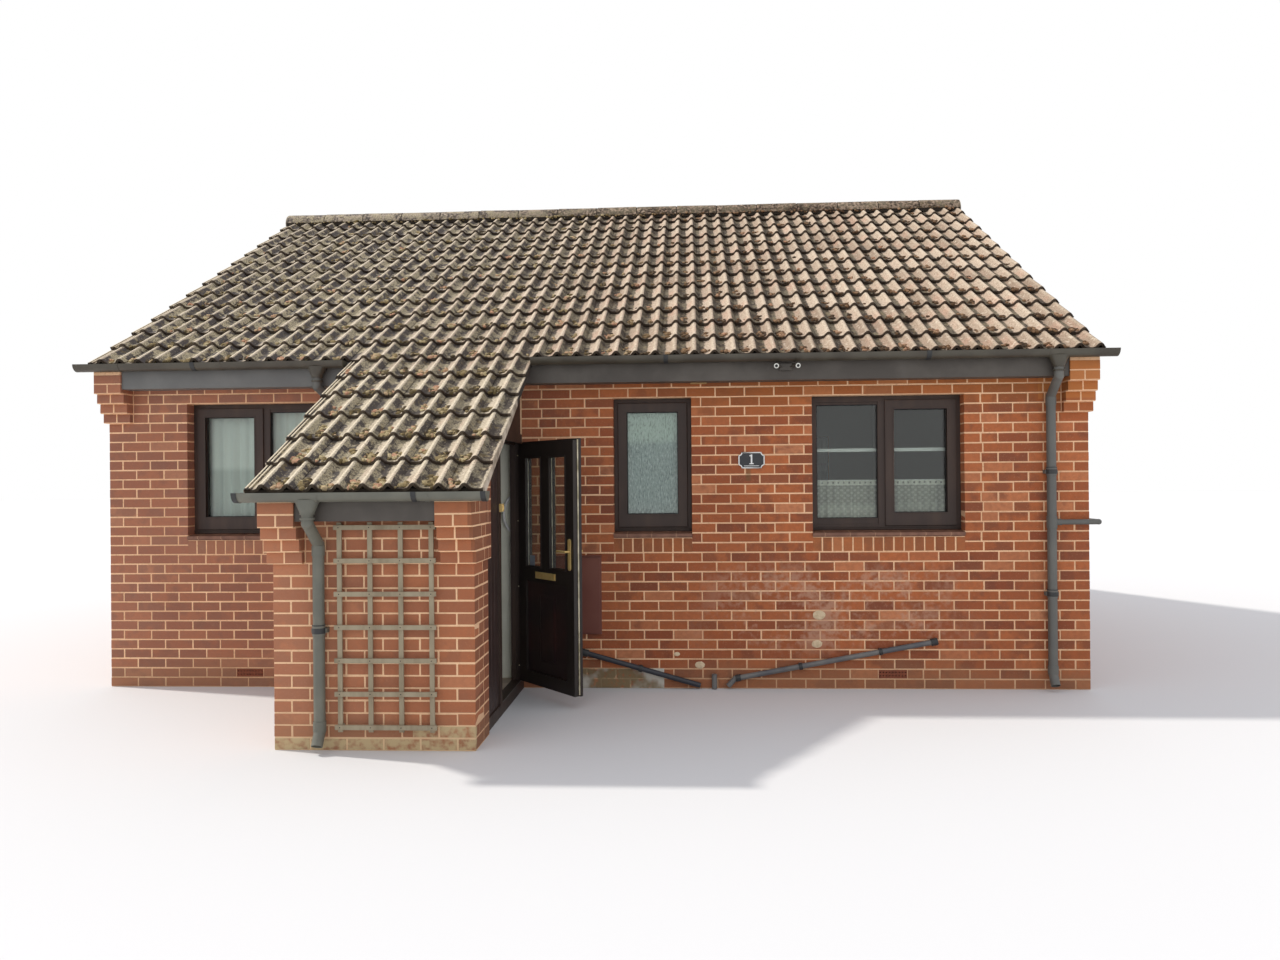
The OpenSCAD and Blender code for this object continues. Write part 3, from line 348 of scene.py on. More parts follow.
@dataclass
class Batch:
    """Copies of shapes, gathered into one mesh with a tone for each point."""
    name: str
    points: list[np.ndarray] = field(default_factory=list)
    faces: list[tuple[int, ...]] = field(default_factory=list)
    tones: list[np.ndarray] = field(default_factory=list)
    size: int = 0

    def lay(self, pattern: Pattern, points: np.ndarray, tone: np.ndarray) -> None:
        """Add one copy of a shape.

        Args:
            pattern: The shape.
            points: Where its points lie in this copy.
            tone: Three shares for the finish, for the copy or for each point.
        """
        self.points.append(points)
        self.faces.extend(tuple(i + self.size for i in face) for face in pattern.faces)
        self.tones.append(np.broadcast_to(tone, (len(points), 3)))
        self.size += len(points)

    def build(self) -> Object:
        """Gather the copies into an object.

        Returns:
            The object.
        """
        mesh = bpy.data.meshes.new(self.name)
        mesh.from_pydata(np.concatenate(self.points).tolist(), [], self.faces)
        tone = np.ones((self.size, 4), dtype=np.float32)
        tone[:, :3] = np.concatenate(self.tones)
        layer = mesh.attributes.new("tone", "FLOAT_COLOR", "POINT")
        layer.data.foreach_set("color", tone.ravel())
        obj = bpy.data.objects.new(self.name, mesh)
        bpy.context.scene.collection.objects.link(obj)
        return obj


# Shader maths


Value = "Wire | float | tuple"


def connect(socket: NodeSocket, value: Value) -> None:
    """Link a wire to a socket, or set the socket to a value.

    Args:
        socket: The socket.
        value: The wire or the value.
    """
    if isinstance(value, Wire):
        value.tree.links.new(value.socket, socket)
    else:
        socket.default_value = value


def add_node(tree: NodeTree, kind: str, settings: dict[str, object] | None = None,
             inputs: dict[int | str, Value] | None = None, output: int | str = 0) -> "Wire":
    """Add a node.

    Args:
        tree: The node tree.
        kind: The node's type, without the ShaderNode before it.
        settings: Its settings, which are set first.
        inputs: Values or wires of its sockets.
        output: The output to return.

    Returns:
        That output.
    """
    node = tree.nodes.new("ShaderNode" + kind)
    for name, value in (settings or {}).items():
        if name == "stops":
            set_stops(node.color_ramp, value)
        else:
            setattr(node, name, value)
    for name, value in (inputs or {}).items():
        connect(node.inputs[name], value)
    return Wire(tree, node.outputs[output])


def set_stops(ramp: ColorRamp, stops: tuple[tuple[float, Colour], ...]) -> None:
    """Set a ramp's stops.

    Args:
        ramp: The ramp.
        stops: Place and screen colour of each stop.
    """
    while len(ramp.elements) < len(stops):
        ramp.elements.new(0.5)
    for element, (place, colour) in zip(ramp.elements, stops):
        element.position = place
        element.color = rgb(*colour)


class Wire:
    """An output socket that takes part in expressions."""

    def __init__(self, tree: NodeTree, socket: NodeSocket) -> None:
        """Keep the node tree and the socket."""
        self.tree = tree
        self.socket = socket

    def _math(self, operation: str, first: Value, second: Value = 0.0) -> "Wire":
        """Return the result of a Math node on two values."""
        return add_node(self.tree, "Math", {"operation": operation}, {0: first, 1: second})

    def __add__(self, other: Value) -> "Wire":
        """Return the sum."""
        return self._math("ADD", self, other)

    def __sub__(self, other: Value) -> "Wire":
        """Return the difference."""
        return self._math("SUBTRACT", self, other)

    def __rsub__(self, other: Value) -> "Wire":
        """Return the difference from another value."""
        return self._math("SUBTRACT", other, self)

    def __mul__(self, other: Value) -> "Wire":
        """Return the product."""
        return self._math("MULTIPLY", self, other)

    def __gt__(self, other: Value) -> "Wire":
        """Return 1 where this value is the greater."""
        return self._math("GREATER_THAN", self, other)

    def __lt__(self, other: Value) -> "Wire":
        """Return 1 where this value is the smaller."""
        return self._math("LESS_THAN", self, other)

    def __mod__(self, other: Value) -> "Wire":
        """Return the remainder, never below 0."""
        return self._math("FLOORED_MODULO", self, other)

    def __or__(self, other: Value) -> "Wire":
        """Return the greater of two values."""
        return self._math("MAXIMUM", self, other)

    def __abs__(self) -> "Wire":
        """Return the size without the sign."""
        return self._math("ABSOLUTE", self)

    def sine(self) -> "Wire":
        """Return the sine of an angle in radians."""
        return self._math("SINE", self)

    __radd__ = __add__
    __rmul__ = __mul__

    def ramp(self, low: float, high: float) -> "Wire":
        """Return a soft step.

        Args:
            low: Value at and below which it is 0.
            high: Value at and above which it is 1.

        Returns:
            The share from 0 to 1.
        """
        return add_node(self.tree, "MapRange", {"interpolation_type": "SMOOTHSTEP"},
                        {"Value": self, "From Min": low, "From Max": high}, "Result")


class Recipe:
    """A material under construction, with its shader and its maps."""

    def __init__(self, name: str, roughness: float = 0.8, **sockets: float | tuple) -> None:
        """Start a material.

        Args:
            name: The material's name.
            roughness: Roughness of its shader.
            sockets: Other constants of the shader, with _ for spaces in their names.
        """
        self.material = bpy.data.materials.new(name)
        self.material.use_nodes = True
        self.tree = self.material.node_tree
        self.shader = next(n for n in self.tree.nodes if n.type == "BSDF_PRINCIPLED")
        for socket, value in {"Roughness": roughness, **sockets}.items():
            self.feed(socket.replace("_", " "), value)
        self.place = add_node(self.tree, "TexCoord", output="Object")

    def noise(self, scale: float, detail: float = 3.0, stretch: Point | None = None) -> Wire:
        """Return cloudy noise of about 0.25 to 0.75.

        Args:
            scale: Clouds to the metre.
            detail: Finer layers.
            stretch: Scale of each axis, where they differ.

        Returns:
            The noise.
        """
        place = self.place
        if stretch:
            place = add_node(self.tree, "Mapping", inputs={"Vector": place, "Scale": stretch})
        return add_node(self.tree, "TexNoise", inputs={"Vector": place, "Scale": scale, "Detail": detail},
                        output="Fac")

    def axis(self, letter: str) -> Wire:
        """Return one coordinate of the place on the object."""
        return add_node(self.tree, "SeparateXYZ", inputs={0: self.place}, output=letter)

    def tone(self, part: str) -> Wire:
        """Return the part Red, Green or Blue of the piece's own tone."""
        colour = add_node(self.tree, "Attribute", {"attribute_name": "tone"}, output="Color")
        return add_node(self.tree, "SeparateColor", inputs={0: colour}, output=part)

    def ladder(self, share: Wire, *stops: tuple[float, Colour]) -> Wire:
        """Return a colour that runs through stops.

        Args:
            share: Where it stands on the ramp, 0 to 1.
            stops: Place and screen colour of each stop, from 0 to 1.

        Returns:
            The colour.
        """
        return add_node(self.tree, "ValToRGB", {"stops": stops}, {"Fac": share}, "Color")

    def blend(self, share: Value, first: Wire | Colour, second: Wire | Colour) -> Wire:
        """Mix two colours.

        Args:
            share: Share of the second.
            first: The first, as a wire or a screen colour.
            second: The second.

        Returns:
            The mixed colour.
        """
        first, second = (rgb(*c) if isinstance(c, tuple) else c for c in (first, second))
        return add_node(self.tree, "Mix", {"data_type": "RGBA"}, {0: share, 6: first, 7: second}, 2)

    def coats(self, base: Wire, *coats: tuple[Value, Wire | Colour]) -> Wire:
        """Lay coats of colour over a base.

        Args:
            base: The colour beneath.
            coats: Share and colour of each coat, the lowest first.

        Returns:
            The colour on top.
        """
        for share, colour in coats:
            base = self.blend(share, base, colour)
        return base

    def colour(self, value: Wire | Colour) -> "Recipe":
        """Set the base colour, from a wire or a screen colour."""
        return self.feed("Base Color", rgb(*value) if isinstance(value, tuple) else value)

    def feed(self, name: str, value: Value) -> "Recipe":
        """Set or link one socket of the shader."""
        connect(self.shader.inputs[name], value)
        return self

    def bump(self, height: Wire, depth: float) -> "Recipe":
        """Raise the surface by a height map of a given depth in metres."""
        return self.feed("Normal", add_node(self.tree, "Bump", inputs={
            "Strength": 1.0, "Distance": depth, "Height": height}))


# Finishes


@dataclass(frozen=True)
class Weather:
    """Stains, lime and damp on the walls, by their places in metres."""
    front: float = -3.5
    porch_front: float = -5.2
    bloom: Span = (1.9, 0.62)
    damp: Span = (0.2, 0.42)
    drip: Span = (1.6, 1.7)
    drip_x: float = 1.262
    lime: Span = (0.077, 0.15)
    lime_x: Span = (-0.86, -0.4)
    patch_x: float = 0.26
    patch_half: float = 0.34
    patch_top: float = 0.152

    def over(self, r: Recipe, base: Wire) -> Wire:
        """Lay the stains over a clean colour.

        Args:
            r: The material under construction.
            base: The clean colour.

        Returns:
            The weathered colour.
        """
        x, y, z = r.axis("X"), r.axis("Y"), r.axis("Z")
        cloud, fine = r.noise(2.6, 4.0), r.noise(24.0, 4.0)
        middle_x, middle_z = self.bloom
        bloom = (1.0 - abs(x - middle_x).ramp(0.5, 1.25)) * (1.0 - abs(z - middle_z).ramp(0.2, 0.42))
        bloom = bloom * (1.0 - y.ramp(self.front, self.front + 0.1)) * (cloud + fine * 0.6).ramp(0.74, 0.95)
        damp = 1.0 - (z + cloud * 0.3).ramp(*self.damp)
        drip = (1.0 - abs(x - self.drip_x).ramp(0.008, 0.03)) * (z > self.drip[0]) * (z < self.drip[1])
        spill = (z < self.lime[1]) * (x > self.lime_x[0]) * (x < self.lime_x[1])
        lime = (y < self.porch_front) * ((z < self.lime[0]) + spill).ramp(0.4, 0.6)
        patch = (abs(x - self.patch_x) < self.patch_half) * (z < self.patch_top)
        patch = patch * (y < self.front) * (y > self.front - 0.1)
        return r.coats(
            base,
            (bloom * 0.62, (192, 150, 124)),
            (damp * 0.42, (148, 112, 82)),
            (drip * (y < self.front) * 0.55, (104, 84, 54)),
            (lime * fine.ramp(0.25, 0.6) * 0.85, (196, 176, 134)),
            (patch * fine.ramp(0.3, 0.5) * 0.8, (124, 114, 84)),
            (patch * cloud.ramp(0.5, 0.6) * 0.9, (206, 202, 190)))


@dataclass(frozen=True)
class BrickClay:
    """Sand-faced orange-brown clay that changes from place to place, with painted shade on the porch's right
    return.
    """
    name: str = "brick"
    roughness: float = 0.88
    porch: float = -5.0
    kneeler: Point = (3.45, -3.3, 2.2)
    return_x: Span = (-0.479, 0.0)
    return_y: float = -4.5

    def make(self) -> Material:
        """Build the material.

        Returns:
            The material.
        """
        r = Recipe(self.name, self.roughness)
        x, y, z = r.axis("X"), r.axis("Y"), r.axis("Z")
        base = r.ladder(r.tone("Red"), (0.0, (142, 74, 46)), (0.2, (160, 86, 51)), (0.6, (176, 98, 56)),
                        (0.88, (188, 108, 64)), (1.0, (200, 132, 92)))
        fire = (r.noise(9.0) + r.tone("Green") * 0.5).ramp(0.78, 0.98)
        mottle, cloud = r.noise(30.0, 5.0).ramp(0.32, 0.72), r.noise(0.8, 2.0)
        west = (1.0 - x.ramp(-1.9, 0.4)) * (1.0 - y.ramp(-2.0, 0.0))
        high = (z + cloud * 0.4).ramp(2.2, 2.5) * x.ramp(-0.4, 1.4)
        knee = (x > self.kneeler[0]) * (y < self.kneeler[1]) * (z > self.kneeler[2])
        # The porch's right return, which faces away from the sun, is darkened with painted shade.
        painted_shade = (x > self.return_x[0]) * (x < self.return_x[1]) * (y < self.return_y)
        base = r.coats(
            base,
            (fire * 0.55, (112, 66, 50)),
            (mottle * 0.3, (124, 70, 38)),
            (r.noise(95.0, 2.0).ramp(0.6, 0.72) * 0.22, (200, 150, 112)),
            (r.tone("Blue") * 0.7, (158, 104, 62)),
            (west * 0.42, (160, 126, 110)),
            (high * 0.5, (172, 102, 44)),
            ((y < self.porch) * 0.3, (200, 132, 90)),
            (cloud.ramp(0.42, 0.6) * 0.22, (120, 66, 42)),
            (knee * 0.4, (196, 124, 62)),
            # Painted shade on the porch's right return.
            (painted_shade * 0.55, (112, 70, 48)))
        r.colour(Weather().over(r, base)).feed("Roughness", 0.94 - mottle * 0.1)
        return r.bump(r.noise(160.0) + mottle * 0.6, 0.0016).material


@dataclass(frozen=True)
class Mortar:
    """Pale sandy mortar that turns to plaster on the room side."""
    name: str = "mortar"
    roughness: float = 0.95
    room: Span = (3.56, 3.28)
    hall_x: Span = (-1.5, -0.69)
    hall_y: Span = (-5.02, -3.2)
    porch: float = -5.0

    def make(self) -> Material:
        """Build the material.

        Returns:
            The material.
        """
        r = Recipe(self.name, self.roughness)
        x, y = r.axis("X"), r.axis("Y")
        base = r.blend(r.noise(2.2, 4.0).ramp(0.3, 0.7), (222, 176, 136), (244, 200, 158))
        base = r.coats(base, (r.noise(50.0, 2.0).ramp(0.5, 0.72) * 0.35, (172, 128, 92)))
        room = (abs(x) < self.room[0]) * (abs(y) < self.room[1])
        hall = (x > self.hall_x[0]) * (x < self.hall_x[1]) * (y > self.hall_y[0]) * (y < self.hall_y[1])
        base = r.coats(
            Weather().over(r, base),
            ((y < self.porch) * 0.4, (244, 206, 164)),
            ((room + hall).ramp(0.4, 0.6), (206, 200, 188)))
        return r.colour(base).bump(r.noise(120.0), 0.001).material


@dataclass(frozen=True)
class TileClay:
    """Weathered, lichened pantile, pale with painted sunlight on the lit flanks and crests of the rolls,
    dark with painted shade on the shaded flanks and on the noses.
    """
    name: str = "pantile"
    roughness: float = 0.94
    porch: float = -3.9

    def make(self) -> Material:
        """Build the material.

        Returns:
            The material.
        """
        r = Recipe(self.name, self.roughness)
        # The tone's blue is each point's share of painted sunlight, near 1 on the lit flank and crest of a
        # roll and 0 on the shaded flank; green is how far down the tile the point lies.
        down, worn_and_lit = r.tone("Green"), r.tone("Blue")
        cloud, fine, speck = r.noise(4.0), r.noise(34.0, 5.0), r.noise(90.0)
        # A left-to-right ramp across the roof: towards the right the painted shade deepens and the painted
        # crest highlight and the lichen crust fade; towards the left the tiles turn paler.
        east = r.axis("X").ramp(-2.4, 0.6)
        # Painted highlight along the sunlit crests of the rolls, weaker towards the right.
        crest = worn_and_lit.ramp(0.96, 1.0) * (1.0 - east * 0.7) * (1.0 - speck.ramp(0.5, 0.62) * 0.6)
        crust = (r.noise(8.0, 5.0) + fine * 0.3).ramp(0.62, 0.7) * (1.0 - east * 0.7)
        # Share of painted shade on the shaded flanks: high where the share of painted sunlight is low,
        # broken up by noise.
        flank_shade = 1.0 - worn_and_lit + fine * 0.8 + cloud * 0.3 - 0.55
        # Painted shade on the faces of the tile noses.
        edge = (down + fine * 0.02 - 0.01).ramp(0.965, 0.985)
        # Colour of the painted shade on the shaded flanks, darker towards the right, with the lichen specks
        # and crust that grow there.
        painted_shade = r.coats(r.blend(east, (66, 60, 60), (42, 29, 17)),
                      (speck.ramp(0.6, 0.66) * 0.6, (176, 164, 136)),
                      (r.noise(20.0).ramp(0.56, 0.66) * 0.5, (116, 98, 60)),
                      (crust * (1.0 - speck.ramp(0.5, 0.56) * 0.8) * 0.8, (198, 184, 150)))
        base = r.ladder(r.tone("Red"), (0.0, (156, 134, 114)), (0.5, (180, 158, 136)),
                        (1.0, (198, 178, 156)))
        base = r.coats(
            base,
            ((1.0 - east) * 0.5, (188, 178, 158)),
            ((r.axis("Y") < self.porch) * 0.5, (204, 194, 168)),
            (cloud.ramp(0.5, 0.7) * east * 0.4, (206, 160, 136)),
            (speck.ramp(0.5, 0.6) * 0.5, (112, 94, 72)),
            (fine.ramp(0.55, 0.68) * 0.5, (222, 208, 186)),
            # Painted highlight on the crests.
            (crest * 0.75, (236, 222, 194)),
            # Painted shade on the shaded flanks, with lichen.
            (flank_shade.ramp(0.26, 0.46) * 0.96, painted_shade),
            # Painted shade on the nose faces.
            (edge * 0.9, (46, 32, 20)))
        return r.colour(base).bump(fine + speck * 0.4, 0.004).material


@dataclass(frozen=True)
class MossGreen:
    """Moss that runs from dark green through tan to pink, clump by clump."""
    name: str = "moss"
    roughness: float = 0.97

    def make(self) -> Material:
        """Build the material.

        Returns:
            The material.
        """
        r = Recipe(self.name, self.roughness)
        base = r.ladder(r.tone("Red"), (0.0, (56, 44, 26)), (0.3, (98, 84, 48)), (0.55, (160, 140, 98)),
                        (0.8, (200, 184, 142)), (1.0, (196, 148, 118)))
        rusty = r.ladder(r.tone("Red"), (0.0, (48, 30, 20)), (0.5, (112, 70, 48)), (1.0, (190, 140, 110)))
        grain = r.noise(160.0)
        base = r.coats(base, (r.axis("X").ramp(-0.6, 1.2) * 0.75, rusty),
                       (grain.ramp(0.4, 0.65) * 0.5, (96, 78, 50)))
        return r.colour(base).bump(grain, 0.006).material


@dataclass(frozen=True)
class TileBed:
    """Bed of the tiles: dark beneath them, a felt colour that also serves as painted shade in the gaps under
    the noses, and cement at the verges.
    """
    name: str = "tile_bed"
    roughness: float = 0.95
    verge_x: float = 3.884
    porch: float = -4.3
    porch_x: Span = (-1.799, -0.389)

    def make(self) -> Material:
        """Build the material.

        Returns:
            The material.
        """
        r = Recipe(self.name, self.roughness)
        x, y = r.axis("X"), r.axis("Y")
        beside = (x > self.porch_x[1]) + (x < self.porch_x[0])
        verge = (abs(x) > self.verge_x) + (y < self.porch) * beside
        cement = r.blend(r.noise(9.0, 4.0).ramp(0.35, 0.7), (206, 192, 172), (140, 126, 108))
        # The dark colour is the felt under the tiles and painted shade in the gaps beneath the tile noses.
        r.colour(r.blend(verge.ramp(0.4, 0.6), (46, 38, 30), cement))
        return r.bump(r.noise(60.0), 0.003).material


@dataclass(frozen=True)
class WastePlastic:
    """Weathered plastic, near black on the left pipe and grey on the right."""
    name: str = "waste_pipe"
    roughness: float = 0.45
    parting: float = 0.93

    def make(self) -> Material:
        """Build the material.

        Returns:
            The material.
        """
        r = Recipe(self.name, self.roughness)
        base = r.blend(r.noise(6.0, 4.0).ramp(0.35, 0.7), (84, 86, 90), (112, 110, 106))
        return r.colour(r.blend(r.axis("X") < self.parting, base, (44, 46, 54))).material


@dataclass(frozen=True)
class ClearGlass:
    """Clear window glass."""
    name: str = "clear_glass"
    roughness: float = 0.02

    def make(self) -> Material:
        """Return the material."""
        r = Recipe(self.name, self.roughness, Transmission_Weight=1.0, IOR=1.5)
        return r.colour((232, 240, 236)).material


@dataclass(frozen=True)
class RainGlass:
    """The milky back of obscured glass with running drops, with painted skylight towards its head, painted
    glints on the drops and painted shade between them.
    """
    name: str = "obscured_glass"
    roughness: float = 0.25
    # Heights over which the painted skylight brightens the pane.
    sky: Span = (1.92, 2.0)
    foot: Span = (1.33, 1.5)

    def make(self) -> Material:
        """Build the material.

        Returns:
            The material.
        """
        r = Recipe(self.name, self.roughness)
        z, drops = r.axis("Z"), r.noise(110.0, 3.0, (1.0, 1.0, 0.3))
        # Painted skylight: brighter towards the head of the pane.
        base = r.blend((z + r.noise(9.0) * 0.1).ramp(*self.sky), (176, 190, 190), (216, 232, 222))
        base = r.coats(
            base,
            ((1.0 - z.ramp(*self.foot)) * 0.4, (206, 212, 210)),
            # Painted shade between the running drops and painted glints on them.
            ((1.0 - drops.ramp(0.32, 0.5)) * 0.5, (96, 108, 104)),
            (drops.ramp(0.54, 0.66) * 0.6, (240, 246, 244)))
        return r.colour(base).bump(drops, 0.006).material


@dataclass(frozen=True)
class Lace:
    """Lace that is close at its foot and pierced along its head."""
    name: str = "lace"
    roughness: float = 0.9
    foot: Span = (1.36, 1.44)
    head: Span = (1.555, 1.56)
    eyelets: float = 1.577

    def make(self) -> Material:
        """Build the material.

        Returns:
            The material.
        """
        r = Recipe(self.name, self.roughness)
        z, x = r.axis("Z"), r.axis("X")
        foot = 1.0 - (z + (x * 96.0).sine() * 0.012).ramp(*self.foot)
        holes = ((x * 150.0).sine() > 0.55) * (abs(z - self.eyelets) < 0.008)
        motif = ((x * 120.0).sine() * (z * 150.0).sine()).ramp(0.1, 0.5)
        cover = (foot * 0.35 + z.ramp(*self.head) * 0.6 + 0.38 + motif * 0.16) * (1.0 - holes * 0.8)
        return r.colour((226, 224, 212)).feed("Alpha", cover).material


@dataclass(frozen=True)
class Net:
    """Thin white net, greyed with painted shade below the line where the room darkens."""
    name: str = "net"
    roughness: float = 0.9
    alpha: float = 0.97
    dusk: Span = (1.70, 1.76)

    def make(self) -> Material:
        """Build the material.

        Returns:
            The material.
        """
        r = Recipe(self.name, self.roughness, Alpha=self.alpha)
        # Painted shade: greyer below the dusk line, where the room behind darkens.
        low = 1.0 - r.axis("Z").ramp(*self.dusk)
        return r.colour(r.blend(low * 0.6, (250, 255, 250), (196, 206, 200))).material


@dataclass(frozen=True)
class QuarryTile:
    """Brown quarry tiles with narrow joints."""
    name: str = "sill_tile"
    roughness: float = 0.55
    pitch: float = 0.19
    joint: float = 0.006

    def make(self) -> Material:
        """Build the material.

        Returns:
            The material.
        """
        r = Recipe(self.name, self.roughness)
        base = r.blend(r.noise(14.0, 4.0).ramp(0.3, 0.7) * 0.7, (106, 70, 54), (140, 100, 78))
        joint = ((r.axis("X") + 5.0) % self.pitch) < self.joint
        return r.colour(r.blend(joint * 0.7, base, (172, 134, 104))).material


@dataclass(frozen=True)
class Plain:
    """A finish of one colour with slight clouding, wear and grain."""
    name: str
    tint: Colour
    worn_and_lit: Colour
    roughness: float = 0.6
    metallic: float = 0.0
    scale: float = 3.0
    wear: float = 0.35
    grain: float = 0.0
    stretch: Point | None = None

    def make(self) -> Material:
        """Build the material.

        Returns:
            The material.
        """
        r = Recipe(self.name, self.roughness, Metallic=self.metallic)
        cloud = r.noise(self.scale, 5.0, self.stretch).ramp(0.35, 0.75)
        r.colour(r.blend(cloud * self.wear, self.tint, self.worn_and_lit))
        if self.grain:
            r.bump(r.noise(self.scale * 12, 4.0, self.stretch), self.grain)
        return r.material


class Finish(Enum):
    """The finishes, by the part of the house that shows them."""
    BRICK = BrickClay()
    MORTAR = Mortar()
    TILE = TileClay()
    BED = TileBed()
    MOSS = MossGreen()
    GLASS = ClearGlass()
    RAIN = RainGlass()
    NET = Net()
    LACE = Lace()
    SILL = QuarryTile()
    WASTE = WastePlastic()
    CEMENT = Plain("cement", (196, 180, 160), (150, 136, 118), 0.95, scale=6.0, wear=0.7, grain=0.002)
    FASCIA = Plain("fascia_paint", (72, 66, 60), (104, 98, 90), 0.55, scale=4.0, wear=0.5)
    PALE_FASCIA = Plain("pale_fascia", (100, 100, 98), (124, 124, 120), 0.5, scale=4.0, wear=0.5)
    GUTTER = Plain("gutter", (66, 60, 50), (96, 92, 78), 0.42, scale=5.0, wear=0.5)
    PALE_GUTTER = Plain("porch_gutter", (100, 100, 90), (130, 128, 114), 0.5, scale=6.0, wear=0.5)
    PIPE = Plain("pipe", (92, 92, 88), (118, 116, 108), 0.5, scale=4.0, wear=0.5)
    COLLAR = Plain("pipe_collar", (40, 42, 44), (66, 66, 64), 0.5, scale=20.0, wear=0.4)
    TIMBER = Plain("window_timber", (50, 35, 28), (78, 58, 46), 0.55, scale=9.0, wear=0.5,
                   stretch=(1.0, 1.0, 0.2), grain=0.0006)
    BOARD = Plain("boarding", (50, 36, 33), (76, 56, 50), 0.5, scale=6.0, wear=0.4)
    LEAF = Plain("door_leaf", (34, 27, 24), (52, 42, 34), 0.5, scale=7.0, wear=0.4,
                 stretch=(1.0, 1.0, 0.15), grain=0.0005)
    BRASS = Plain("brass", (232, 202, 132), (196, 154, 80), 0.3, 0.35, scale=30.0, wear=0.4)
    WOOD = Plain("grey_wood", (160, 148, 124), (120, 106, 84), 0.85, scale=20.0, wear=0.6,
                 stretch=(1.0, 1.0, 0.2), grain=0.0008)
    METER = Plain("meter_box", (112, 62, 50), (128, 80, 64), 0.5, scale=5.0, wear=0.4)
    PLAQUE = Plain("plaque", (38, 40, 44), (60, 60, 62), 0.35, scale=20.0, wear=0.3)
    WHITE = Plain("white_lining", (240, 240, 236), (214, 214, 206), 0.45, scale=4.0, wear=0.4)
    LINING = Plain("lining", (240, 240, 222), (214, 214, 196), 0.5, scale=4.0, wear=0.4)
    SEAL = Plain("seal", (236, 226, 196), (150, 140, 104), 0.7, scale=14.0, wear=0.9)
    PANEL = Plain("door_field", (40, 28, 29), (74, 40, 33), 0.36, scale=3.0, wear=0.6)
    LAMP = Plain("lamp_bronze", (70, 64, 56), (112, 106, 96), 0.4, scale=12.0, wear=0.5)
    LENS = Plain("lamp_lens", (226, 226, 216), (196, 196, 188), 0.2)
    AIR_BRICK = Plain("air_brick", (128, 68, 44), (96, 54, 38), 0.85, scale=20.0, wear=0.6)
    GASKET = Plain("gasket", (22, 20, 20), (34, 32, 32), 0.6)
    STICKER = Plain("sticker", (150, 160, 172), (132, 142, 152), 0.5)
    FLECK = Plain("fleck", (196, 160, 108), (150, 112, 70), 0.8, scale=60.0, wear=0.6)
    PATCH = Plain("mortar_patch", (222, 200, 166), (170, 146, 112), 0.95, scale=30.0, wear=0.5, grain=0.002)


@cache
def material(finish: Finish) -> Material:
    """Return a finish's material, which is made the first time."""
    return finish.value.make()


def dress(obj: Object, finish: Finish, body: str = HOUSE) -> Object:
    """Give a new piece its finish and the body that it rides on.

    Args:
        obj: The piece.
        finish: Its finish.
        body: The CAD body.

    Returns:
        The same piece.
    """
    obj.data.materials.clear()
    obj.data.materials.append(material(finish))
    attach(obj, body)
    return obj


def coat(finish: Finish, *nodes: str) -> None:
    """Give CAD nodes a finish through their material slots.

    Args:
        finish: The finish.
        nodes: The CAD nodes.
    """
    for node in nodes:
        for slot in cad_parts[node].material_slots:
            slot.material = material(finish)


# Brickwork


def bed(row: int) -> Span:
    """Return the bed and the top of the bricks of a course."""
    return row * COURSE + JOINT / 2, (row + 1) * COURSE - JOINT / 2


@dataclass(frozen=True)
class Opening:
    """A stretch of a wall without bricks."""
    start: float
    end: float
    low: float
    high: float
    play: float = 0.01

    def crosses(self, low: float, high: float) -> bool:
        """Tell whether a course between two heights meets the opening."""
        return low < self.high - self.play and high > self.low + self.play


